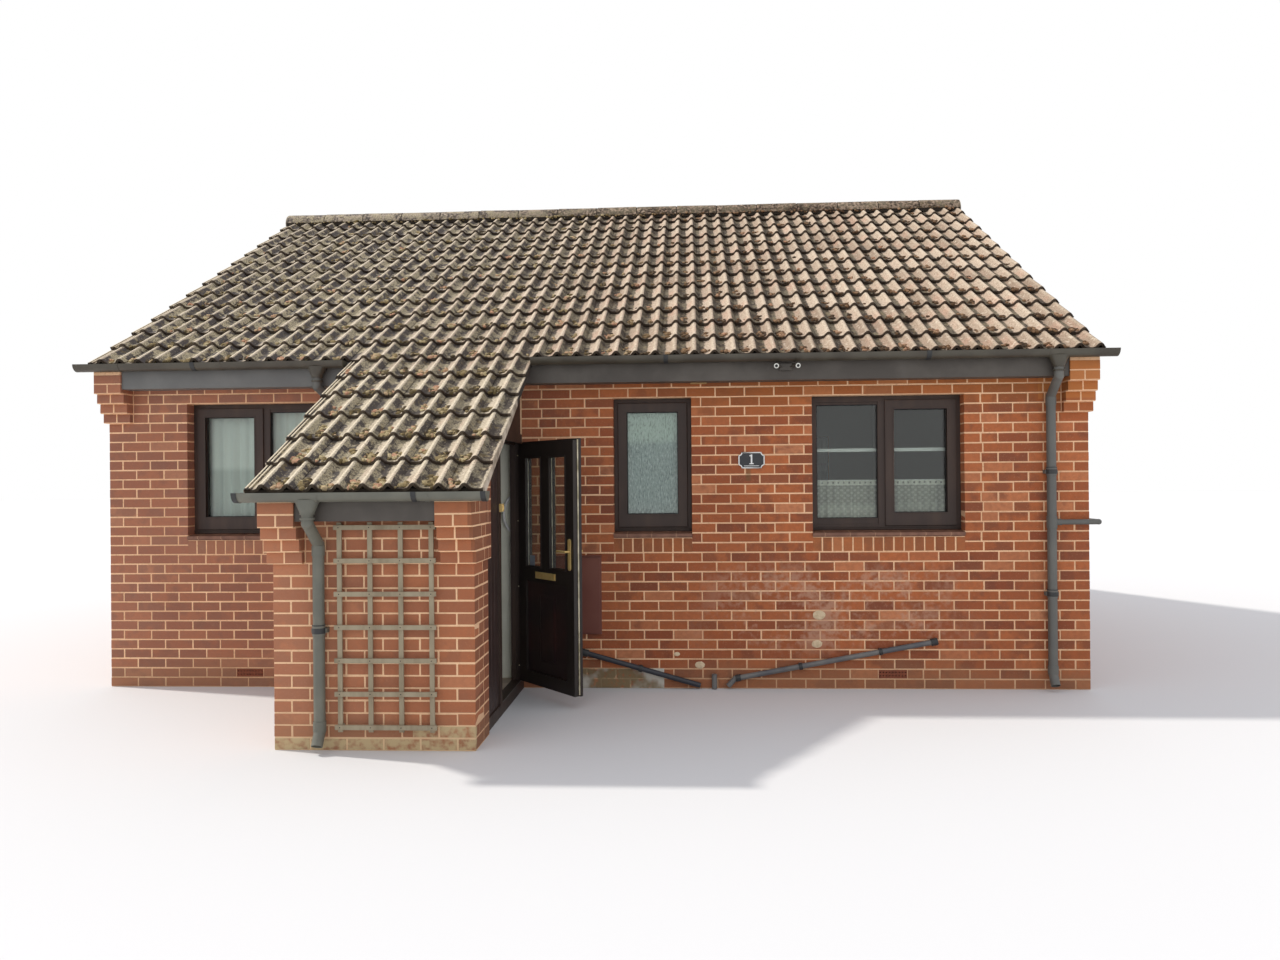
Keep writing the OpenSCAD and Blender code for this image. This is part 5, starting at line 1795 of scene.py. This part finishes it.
@dataclass
class Windows:
    """Beads, gaskets, net curtains and obscured panes of the windows."""
    frame_y: float = 3.44
    glass_y: float = 3.417
    net_y: float = 3.338
    rail_y: Span = (3.332, 3.344)
    pane_y: Span = (3.3925, 3.3895)
    wide: tuple[Span, ...] = ((-3.183, -2.033), (1.75, 2.9))
    small: Span = (0.217, 0.827)
    lights: tuple[Light, ...] = (Light((-3.091, -2.663), True), Light((-2.507, -2.125), False),
                                 Light((1.842, 2.224), False), Light((2.380, 2.808), True),
                                 Light((0.309, 0.735), True))
    proud: Span = (-0.008, 0.014)
    bead: float = 0.011
    bead_y: Span = (0.003, -0.012)
    gasket: float = 0.006
    gasket_y: Span = (0.004, -0.002)
    bars_z: Span = (1.2135, 1.2285)
    bar: float = 0.007
    bar_y: Span = (0.007, -0.004)
    pleats: Span = (0.085, 0.06)
    pane_lap: float = 0.012
    net_margin: float = 0.01
    cells: int = 10
    rounding: float = 3.5 * MM
    rail_z: Span = (1.820, 1.847)
    net_z: Span = (1.222, 2.225)
    short_net_foot: float = 1.262
    lace_head: float = 1.596

    def glazing(self, side: int, tag: str) -> None:
        """Fit beads and gaskets round every pane.

        Args:
            side: -1 for the front, 1 for the rear.
            tag: The side's name.
        """
        beads, gaskets, grown = [], [], self.bead
        for light in self.lights:
            (x0, x1), (z0, z1) = light.seen()
            face = self.frame_y + self.proud[light.opens]
            near, far = (side * (face + y) for y in self.bead_y)
            beads.append(add_ring("bead", (x0 - grown, near, z0 - grown), (x1 + grown, far, z1 + grown),
                                  self.bead))
            near, far = (side * (self.glass_y + y) for y in self.gasket_y)
            gaskets.append(add_ring("gasket", (x0, near, z0), (x1, far, z1), self.gasket))
        near, far = (side * (self.frame_y + y) for y in self.bar_y)
        for start, end in (*self.wide, self.small):
            for low in self.bars_z:
                beads.append(add_box("weather_bar", (start + MM, near, low),
                                     (end - MM, far, low + self.bar), 2 * MM, 2))
        dress(join(tag + "_window_beads", beads), Finish.TIMBER)
        dress(join(tag + "_window_gaskets", gaskets), Finish.GASKET)

    def hang(self, name: str, span: Span, rise: Span, side: int, pleat: float, finish: Finish) -> None:
        """Hang a gathered net behind a window.

        Args:
            name: The net's name.
            span: Its two ends across the window.
            rise: Its foot and its head.
            side: -1 for the front, 1 for the rear.
            pleat: Width of one fold.
            finish: Its finish.
        """
        ends = [(x, side * self.net_y, rise[1]) for x in span]
        rod = dress(add_rod(name + "_wire", *ends, 4 * MM, 12, MM), Finish.WHITE)
        smooth(rod)
        width, height = span[1] - span[0] - 2 * self.net_margin, rise[1] - rise[0]
        obj = primitive(bpy.ops.mesh.primitive_grid_add, size=1.0,
                        x_subdivisions=int(width / pleat * self.cells), y_subdivisions=self.cells)
        obj.name = obj.data.name = name
        mesh = obj.data
        flat = np.empty(len(mesh.vertices) * 3)
        mesh.vertices.foreach_get("co", flat)
        along, up = flat[0::3] + 0.5, flat[1::3] + 0.5
        phase = along * width / pleat * math.tau
        fold = np.sin(phase) + 0.35 * np.sin(phase * 0.37 + 1.0) + 0.2 * np.sin(phase * 2.3)
        deep = pleat * (0.10 + 0.10 * (1 - up))
        points = np.stack([span[0] + self.net_margin + along * width, side * (self.net_y + fold * deep),
                           rise[0] + up * height], axis=1)
        mesh.vertices.foreach_set("co", points.ravel())
        mesh.update()
        area = sum(face.area for face in mesh.polygons)
        apply_modifier(obj, "SOLIDIFY", thickness=0.6 * MM, offset=0.0)
        dress(obj, finish)
        smooth(obj, 80)
        area / height

    def obscure(self, side: int, tag: str) -> None:
        """Stand the obscured pane behind the glass of the small window.

        Args:
            side: -1 for the front, 1 for the rear.
            tag: The side's name.
        """
        (x0, x1), (z0, z1) = self.lights[-1].seen()
        near, far = (side * y for y in self.pane_y)
        grown = self.pane_lap
        pane = add_box(tag + "_obscured_pane", (x0 - grown, near, z0 - grown), (x1 + grown, far, z1 + grown),
                       0.8 * MM)
        dress(pane, Finish.RAIN)

    def frames(self) -> None:
        """Stand in dressed copies of the frames and panes, with the fixed panes wider."""
        frames = "window_left", "window_small", "window_right", "rear_windows"
        for node in (*frames, "front_glass", "rear_glass"):
            obj = node_copy(node, node + "_dressed")
            low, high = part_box(node)
            for light in self.lights:
                if low[0] - 0.1 < light.x[0] < high[0]:
                    light.reshape(obj)
            if node in frames:
                apply_modifier(obj, "BEVEL", width=self.rounding, segments=2, limit_method="ANGLE",
                               angle_limit=0.6)
                dress(obj, Finish.TIMBER)
            else:
                dress(obj, Finish.GLASS)
            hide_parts(node)

    def build(self) -> None:
        """Dress the windows of both sides."""
        self.frames()
        left, right = self.wide
        for side, tag in ((-1, "front"), (1, "rear")):
            self.glazing(side, tag)
            self.obscure(side, tag)
            self.hang(tag + "_left_net", left, self.net_z, side, self.pleats[0], Finish.NET)
            head, cloth = (self.lace_head, Finish.LACE) if side < 0 else (self.net_z[1], Finish.NET)
            self.hang(tag + "_right_net", right, (self.short_net_foot, head), side, self.pleats[1], cloth)
            rail = add_box(tag + "_right_rail", (right[0], side * self.rail_y[0], self.rail_z[0]),
                           (right[1], side * self.rail_y[1], self.rail_z[1]), 3 * MM, 2)
            dress(rail, Finish.WHITE)


# Entrance


@dataclass
class Entrance:
    """Small parts of the door leaf and of its frame."""
    hinge: Span = (-0.462, -3.596)
    opened: float = math.radians(41.5)
    faces: Span = (-0.532, -0.470)
    glass: Span = (-0.513, -0.489)
    lights: tuple[Span, ...] = ((-4.259, -4.038), (-3.932, -3.711))
    light_z: Span = (0.963, 1.793)
    bead: float = 0.010
    bead_rise: float = 5 * MM
    spacer: Point = (1.2 * MM, 2.5 * MM, 12 * MM)
    spacer_in: float = 15 * MM
    seal: tuple[Point, Point] = ((-0.4975, -4.3625, 0.095), (-0.4885, -4.3555, 1.905))
    sticker_y: Span = (-3.812, -3.744)
    sticker_z: Span = (0.975, 1.050)
    lock: Span = (-4.307, 1.012)
    keep: tuple[Point, Point] = ((-0.4955, -4.425, 1.402), (-0.4715, -4.371, 1.458))
    screw: Point = (-0.517, -3.6112, -3.6095)
    screws_z: tuple[float, ...] = (0.19, 0.80, 1.306, 1.81)
    bar: tuple[Point, Point] = ((-0.500, -4.352, 0.0795), (-0.494, -3.618, 0.0835))

    def on_leaf(self, name: str, pieces: list[Object], finish: Finish) -> None:
        """Swing parts made on the closed leaf to where it stands open.

        Args:
            name: Name of the joined piece.
            pieces: Its parts.
            finish: Its finish.
        """
        obj = join(name, pieces)
        axis = Matrix.Translation((*self.hinge, 0.0))
        obj.matrix_world = axis @ Matrix.Rotation(self.opened, 4, "Z") @ axis.inverted()
        dress(settle(obj, name), finish, DOOR)

    def strips(self, x: Span) -> list[Object]:
        """Make four strips round each light.

        Args:
            x: How far they stand through the leaf.

        Returns:
            The strips.
        """
        made, wide, (z0, z1) = [], self.bead, self.light_z
        for y0, y1 in self.lights:
            for low, high in (((y0, z0), (y0 + wide, z1)), ((y1 - wide, z0), (y1, z1)),
                              ((y0 + wide, z0), (y1 - wide, z0 + wide)),
                              ((y0 + wide, z1 - wide), (y1 - wide, z1))):
                made.append(add_box("strip", (x[0], *low), (x[1], *high), 2 * MM))
        return made

    def leaf(self) -> None:
        """Fit the beads, spacers, seal, sticker and lock cylinders of the leaf."""
        (inner, outer), (back, front), (z0, z1) = self.faces, self.glass, self.light_z
        beads = self.strips((inner - self.bead_rise, back)) + self.strips((front, outer + self.bead_rise))
        self.on_leaf("light_beads", beads, Finish.LEAF)
        thick, half, short = self.spacer
        spacers = [add_box("spacer", (back - thick, y - half, z0 + short),
                           (back + 0.4 * MM, y + half, z1 - short), 0.5 * MM)
                   for a, b in self.lights for y in (a + self.spacer_in, b - self.spacer_in)]
        seal = add_box("seal", *self.seal, MM)
        choose(seal, "EDGE", lambda middle, way: abs(way.z) > 0.9)
        with editing(seal, "EDGE"):
            bpy.ops.mesh.subdivide(number_cuts=40)
        self.on_leaf("door_seal", spacers + [seal], Finish.SEAL)
        (y0, y1), (low, high) = self.sticker_y, self.sticker_z
        sticker = add_box("sticker", (back - 0.8 * MM, y0, low), (back, y1, high), 0.2 * MM)
        self.on_leaf("light_sticker", [sticker], Finish.STICKER)
        cylinders = [add_rod("cylinder", (x, *self.lock), (x + 5 * MM, *self.lock), 8.5 * MM, 20, 1.2 * MM)
                     for x in (inner - 6 * MM, outer + MM)]
        self.on_leaf("lock_cylinders", cylinders, Finish.BRASS)

    def build(self) -> None:
        """Fit the parts of the leaf and of the frame."""
        self.leaf()
        keep = add_box("latch_keep", *self.keep, 3 * MM, 2)
        choose(keep, "FACE", lambda centre, normal: normal.x > 0.9)
        with editing(keep):
            bpy.ops.mesh.inset(thickness=9 * MM)
            extrude((-4 * MM, 0, 0))
        dress(keep, Finish.BRASS)
        x, *ends = self.screw
        screws = [add_rod("screw", *((x, y, z) for y in ends), 5 * MM, 14, 0.6 * MM) for z in self.screws_z]
        dress(join("jamb_screws", screws), Finish.SEAL)
        dress(add_box("threshold_bar", *self.bar, MM), Finish.PIPE)


# Fittings


@dataclass
class Fittings:
    """The number plaque, lamp, meter box, trellis fixings and patches of the wall."""
    plaque: Span = (1.287, 1.758)
    plaque_face: float = -3.546
    relief: float = 0.0015
    figure: tuple[tuple[str, float, float, float, float], ...] = (
        ("stem", -0.006, -0.024, 0.006, 0.044), ("foot", -0.017, -0.031, 0.017, -0.0235),
        ("flag", -0.016, 0.030, -0.005, 0.039), ("line", -0.058, -0.046, 0.058, -0.0415))
    lamp_x: float = 1.539
    lamp_ends: tuple[Point, Point] = ((0.062, -3.728, 2.462), (0.079, -3.804, 2.450))
    rim: Point = (0.003, 0.006, 0.0185)
    rim_well: Span = (0.006, -0.004)
    lens: Point = (0.001, 0.0035, 0.011)
    meter_hinge: Span = (-0.274, -3.5715)
    meter_hinges_z: Span = (0.53, 0.86)
    meter_lock: tuple[Point, Point] = ((0.091, -3.5735, 0.473), (0.091, -3.5695, 0.473))
    meter_drip: tuple[Point, Point] = ((-0.292, -3.576, 1.0245), (0.124, -3.5395, 1.0305))
    nails: tuple[int, int] = (4, 7)
    first_nail: Span = (-1.289, 0.149)
    nail_pitch: Span = (0.186, 0.199)
    nail_y: Span = (-5.2768, -5.2755)
    patch_spots: tuple[Point, ...] = ((1.792, 0.565, 0.036), (1.775, 0.343, 0.030),
                                      (0.877, 0.180, 0.028), (0.701, 0.264, 0.017))
    fleck: tuple[Point, Point] = ((0.822, -3.574, 2.350), (0.948, -3.545, 2.3585))

    def number(self) -> None:
        """Raise the border and the figure of the plaque."""
        border = node_copy("number_plaque", "plaque_border")
        choose(border, "FACE", lambda centre, normal: normal.y > -0.9)
        with editing(border):
            bpy.ops.mesh.delete(type="FACE")
            select_all()
            bpy.ops.mesh.dissolve_limited(angle_limit=0.02)
            select_all()
            bpy.ops.mesh.inset(thickness=8 * MM)
            bpy.ops.mesh.delete(type="FACE")
            select_all()
            extrude((0, -self.relief, 0))
        face_out(border)
        x, z = self.plaque
        face = self.plaque_face
        strokes = [add_box(name, (x + x0, face - self.relief, z + z0), (x + x1, face, z + z1), 0.4 * MM)
                   for name, x0, z0, x1, z1 in self.figure]
        dress(join("plaque_figure", strokes + [border]), Finish.WHITE)

    def lamp(self) -> None:
        """Fit rims and lenses to the two lamp heads."""
        rims, lenses, (inset, depth) = [], [], self.rim_well
        (behind, before, rim_radius), (low, high, radius) = self.rim, self.lens
        for side in (-1, 1):
            start, end = (Vector((self.lamp_x + side * x, y, z)) for x, y, z in self.lamp_ends)
            way = (end - start).normalized()
            rim = add_rod("rim", end - way * behind, end + way * before, rim_radius, 28, MM)
            choose(rim, "FACE", lambda centre, normal, w=way: normal.dot(w) > 0.95)
            with editing(rim):
                bpy.ops.mesh.inset(thickness=inset)
                extrude(way * depth)
            rims.append(rim)
            lenses.append(add_rod("lens", end + way * low, end + way * high, radius, 20, 0.6 * MM))
        dress(join("lamp_rims", rims), Finish.LENS)
        dress(join("lamp_lenses", lenses), Finish.GASKET)

    def meter(self) -> None:
        """Fit hinges, a lock and a drip edge to the meter box."""
        parts = [add_rod("hinge", (*self.meter_hinge, z), (*self.meter_hinge, z + 60 * MM), 5 * MM, 14, MM)
                 for z in self.meter_hinges_z]
        parts.append(add_rod("lock", *self.meter_lock, 10 * MM, 20, 1.2 * MM))
        parts.append(add_box("drip", *self.meter_drip, 2 * MM, 2))
        dress(join("meter_fittings", parts), Finish.METER)

    def trellis(self) -> None:
        """Drive a nail through every crossing of the trellis."""
        (x0, z0), (step_x, step_z), (head, foot) = self.first_nail, self.nail_pitch, self.nail_y
        columns, rows = self.nails
        made = [add_rod("nail", (x0 + k * step_x, head, z0 + m * step_z),
                        (x0 + k * step_x, foot, z0 + m * step_z), 3.5 * MM, 8, 0.5 * MM)
                for k in range(columns) for m in range(rows)]
        dress(join("trellis_nails", made), Finish.GASKET)

    def patches(self) -> None:
        """Add the patches of mortar and the fleck beneath the eaves."""
        pieces = []
        for k, (x, z, size) in enumerate(self.patch_spots):
            obj = primitive(bpy.ops.mesh.primitive_ico_sphere_add, subdivisions=3, radius=1.0)
            with editing(obj, whole=True):
                bpy.ops.transform.vertex_random(offset=0.10, seed=k)
            obj.scale = (size * 1.35, 6 * MM, size)
            obj.location = (x, -WALL_Y - PROUD, z)
            pieces.append(settle(obj, "patch"))
        smooth(dress(join("mortar_patches", pieces), Finish.PATCH), 60)
        fleck = add_box("eaves_fleck", *self.fleck, 3 * MM, 2)
        with editing(fleck, whole=True):
            bpy.ops.mesh.subdivide(number_cuts=3)
            bpy.ops.transform.vertex_random(offset=1.5 * MM, seed=9)
        dress(fleck, Finish.FLECK)

    def build(self) -> None:
        """Add all fittings."""
        for make in (self.number, self.lamp, self.meter, self.trellis, self.patches):
            make()


@dataclass
class Collars:
    """Dark collars, outlets and rubber rings of the gutters, downpipes and waste pipes."""
    gutter: Point = (-3.744, 2.545, 0.0592)
    porch_gutter: Point = (-5.431, 1.555, 0.0592)
    joints: tuple[float, ...] = (0.64, 2.58, -3.0)
    porch_joints: tuple[float, ...] = (-1.822, -0.77, -0.366)
    rear_joints: tuple[float, ...] = (-1.9, 0.0, 1.9)
    outlets: tuple[tuple[float, int], ...] = ((3.527, -1), (-2.038, -1), (-3.527, 1))
    porch_outlet: tuple[float, int] = (-1.410, -1)
    widths: Point = (0.034, 0.030, 0.060)
    flare: Point = (0.122, 0.040, 0.041)
    flare_from: float = 0.06
    flare_by: Point = (1.85, 1.2, 1.0)
    sockets: tuple[Point, ...] = ((0.128, 0.121, 0.0425), (0.158, 0.146, 0.0425))
    clip: Point = (0.012, 0.046, 0.0395)
    lip: Point = (0.0585, 0.0645, 0.0392)
    clips: tuple[Point, ...] = ((3.527, -3.59, 0.7), (3.527, -3.59, 1.62), (-1.948, -3.59, 1.62),
                                (-1.948, -3.59, 0.7), (-1.410, -5.277, 0.7), (-3.527, 3.59, 0.7),
                                (-3.527, 3.59, 1.62))
    waste_y: float = -3.566
    long_waste: tuple[Span, Span] = ((2.660, 0.365), (1.146, 0.082))
    long_rings: tuple[Point, ...] = ((0.004, 0.05, 0.028), (0.27, 0.028, 0.0265),
                                     (0.67, 0.028, 0.0265), (0.985, 0.04, 0.0262))
    short_waste: tuple[Span, Span] = ((-0.022, 0.281), (0.880, 0.028))
    short_rings: tuple[Point, ...] = ((0.004, 0.07, 0.0285), (0.49, 0.03, 0.0265))

    def on_gutter(self, x: float, width: float, line: Point, rear: int = -1) -> Object:
        """Wrap a collar round the outside of a half-round gutter.

        Args:
            x: Its middle.
            width: Its width along the gutter.
            line: Depth, rim height and radius of the collar.
            rear: -1 for the front, 1 for the rear.

        Returns:
            The collar.
        """
        y, rim, radius = line
        obj = primitive(bpy.ops.mesh.primitive_cylinder_add, vertices=40, radius=radius, depth=width,
                        end_fill_type="NOTHING", rotation=(0, math.pi / 2, 0))
        settle(obj, "collar")
        with editing(obj, whole=True):
            bpy.ops.mesh.bisect(plane_co=(0, 0, MM), plane_no=(0, 0, 1), clear_outer=True)
            select_all()
            bpy.ops.transform.translate(value=(x, -rear * y, rim))
        apply_modifier(obj, "SOLIDIFY", thickness=2.2 * MM, offset=-1.0)
        return obj

    def outlet(self, x: float, rear: int, line: Point) -> list[Object]:
        """Make a flared outlet under a gutter and the sockets of its swan neck.

        Args:
            x: Its middle.
            rear: -1 for the front, 1 for the rear.
            line: Depth and rim height of the gutter, and the radius of its collars.

        Returns:
            Its parts.
        """
        deep, rim = -rear * line[0], line[1]

        def tube(low: float, high: float, radius: float) -> Object:
            """Make an upright tube between two depths beneath the rim."""
            return add_rod("tube", (x, deep, rim - low), (x, deep, rim - high), radius, 28, 2 * MM)

        flare = tube(*self.flare)
        choose(flare, "EDGE", lambda middle, way: middle.z > rim - self.flare_from)
        with editing(flare, "VERT"):
            bpy.ops.transform.resize(value=self.flare_by, center_override=(x, deep, rim))
        return [flare, *(tube(*socket) for socket in self.sockets)]

    def waste_rings(self, ends: tuple[Span, Span], rings: tuple[Point, ...]) -> list[Object]:
        """Make the joints of a waste pipe.

        Args:
            ends: Places across and up of its head and of its foot.
            rings: Share of the way down, width and radius of each joint.

        Returns:
            The joints.
        """
        (top_x, top_z), (foot_x, foot_z) = ends
        start, way = Vector((top_x, self.waste_y, top_z)), Vector((foot_x - top_x, 0, foot_z - top_z))
        made = []
        for share, width, radius in rings:
            middle, half = start + way * share, way.normalized() * width / 2
            made.append(add_rod("joint", middle - half, middle + half, radius, 24, 0.003))
        return made

    def build(self) -> None:
        """Fit every collar and outlet."""
        width, porch_width, rear_width = self.widths
        rings = [self.on_gutter(x, width, self.gutter) for x in self.joints]
        rings += [self.on_gutter(x, porch_width, self.porch_gutter) for x in self.porch_joints]
        rings += [self.on_gutter(x, rear_width, self.gutter, 1) for x in self.rear_joints]
        for x, y, z in self.clips:
            for (low, high, radius), bevel in ((self.clip, 2 * MM), (self.lip, MM)):
                rings.append(add_rod("clip", (x, y, z + low), (x, y, z + high), radius, 28, bevel))
        rings += self.waste_rings(self.long_waste, self.long_rings)
        rings += self.waste_rings(self.short_waste, self.short_rings)
        smooth(dress(join("pipe_collars", rings), Finish.COLLAR))
        outlets = [part for x, rear in self.outlets for part in self.outlet(x, rear, self.gutter)]
        smooth(dress(join("outlets", outlets), Finish.GUTTER))
        outlet = self.outlet(*self.porch_outlet, self.porch_gutter)
        smooth(dress(join("porch_outlet", outlet), Finish.PALE_GUTTER))


# Studio


@dataclass
class Studio:
    """Camera at the photograph's angle, soft light, and a pale floor."""
    place: Point = (0.809, -10.663, 1.608)
    yaw: float = math.radians(3.08)
    pitch: float = math.radians(0.04)
    roll: float = math.radians(-0.50)
    lens: float = 25.875
    sensor: float = 36.0
    sky: Colour = (246, 248, 255)
    sky_strength: float = 0.92
    sun: Point = (-0.68, 0.16, 0.70)
    sun_strength: float = 2.5
    sun_width: float = math.radians(2.5)
    sun_colour: Point = (1.0, 0.96, 0.9)
    floor_size: float = 160.0
    floor_grey: float = 0.72

    def camera(self) -> None:
        """Set up the camera."""
        data = bpy.data.cameras.new("camera")
        data.sensor_width = self.sensor
        data.lens = self.lens
        data.clip_end = 200.0
        obj = bpy.data.objects.new("camera", data)
        turn = (Matrix.Rotation(self.yaw, 4, "Z") @ Matrix.Rotation(math.pi / 2 + self.pitch, 4, "X")
                @ Matrix.Rotation(self.roll, 4, "Z"))
        obj.matrix_world = Matrix.Translation(self.place) @ turn
        bpy.context.scene.collection.objects.link(obj)
        bpy.context.scene.camera = obj

    def light(self) -> None:
        """Set up a soft sky, white where it is seen, and a sun from behind the left gable."""
        world = bpy.data.worlds.new("sky")
        bpy.context.scene.world = world
        world.use_nodes = True
        tree = world.node_tree
        tree.nodes.clear()
        camera, glossy, through = (add_node(tree, "LightPath", output=f"Is {kind} Ray")
                                   for kind in ("Camera", "Glossy", "Transmission"))
        plain = add_node(tree, "Background", inputs={"Color": rgb(*self.sky), "Strength": self.sky_strength})
        white = add_node(tree, "Background", inputs={"Color": (1, 1, 1, 1)})
        mix = add_node(tree, "MixShader", inputs={0: camera | glossy | through, 1: plain, 2: white})
        connect(tree.nodes.new("ShaderNodeOutputWorld").inputs["Surface"], mix)
        sun = bpy.data.lights.new("sun", "SUN")
        sun.energy = self.sun_strength
        sun.angle = self.sun_width
        sun.color = self.sun_colour
        obj = bpy.data.objects.new("sun", sun)
        obj.rotation_euler = Vector(self.sun).normalized().to_track_quat("Z", "Y").to_euler()
        bpy.context.scene.collection.objects.link(obj)

    def floor(self) -> None:
        """Lay the pale floor."""
        obj = primitive(bpy.ops.mesh.primitive_plane_add, size=self.floor_size, location=(0, 0, -MM))
        settle(obj, "studio_floor")
        grey = Recipe("studio_floor", 0.9).feed("Base Color", (*(self.floor_grey,) * 3, 1.0))
        obj.data.materials.append(grey.material)

    def build(self) -> None:
        """Set up everything around the house."""
        self.camera()
        self.light()
        self.floor()
        bpy.context.scene.view_settings.view_transform = "Standard"


def coat_nodes() -> None:
    """Give the CAD nodes that stay visible their finishes."""
    for finish, nodes in {
            Finish.CEMENT: ("floor_slab", "porch_floor"),
            Finish.LINING: ("porch_lining",),
            Finish.WHITE: ("grab_rail",),
            Finish.LAMP: ("eaves_lamp",),
            Finish.AIR_BRICK: ("air_bricks",),
            Finish.PALE_FASCIA: ("fascia_left",),
            Finish.FASCIA: ("fascia_right", "fascia_porch", "fascia_rear"),
            Finish.GUTTER: ("gutter_left", "gutter_right", "gutter_rear_left", "gutter_rear_right"),
            Finish.PALE_GUTTER: ("gutter_porch", "downpipe_porch"),
            Finish.PIPE: ("downpipe_left", "downpipe_right", "downpipe_rear"),
            Finish.TIMBER: ("spandrel_panel", "door_frame"),
            Finish.BOARD: ("side_panel",),
            Finish.LEAF: ("door_leaf",),
            Finish.PANEL: ("door_panel",),
            Finish.BRASS: ("letter_plate", "door_handles", "hinge_frame_halves", "hinge_leaf_halves"),
            Finish.WOOD: ("trellis",),
            Finish.METER: ("meter_box",),
            Finish.PLAQUE: ("number_plaque",),
            Finish.GLASS: ("door_lights",),
            Finish.SILL: ("front_sills", "rear_sills"),
            Finish.WASTE: ("waste_pipes",)}.items():
        coat(finish, *nodes)


def main() -> None:
    """Build the house piece by piece."""
    logging.basicConfig(level=logging.INFO)
    deselect()
    coat_nodes()
    roof = Pantiles()
    for part in (Studio(), Masonry(), roof, Ridge(), Moss(roof), Windows(), Entrance(), Fittings(),
                 Collars()):
        part.build()
        LOG.info("built %s", type(part).__name__)


if __name__ == "__main__":
    main()
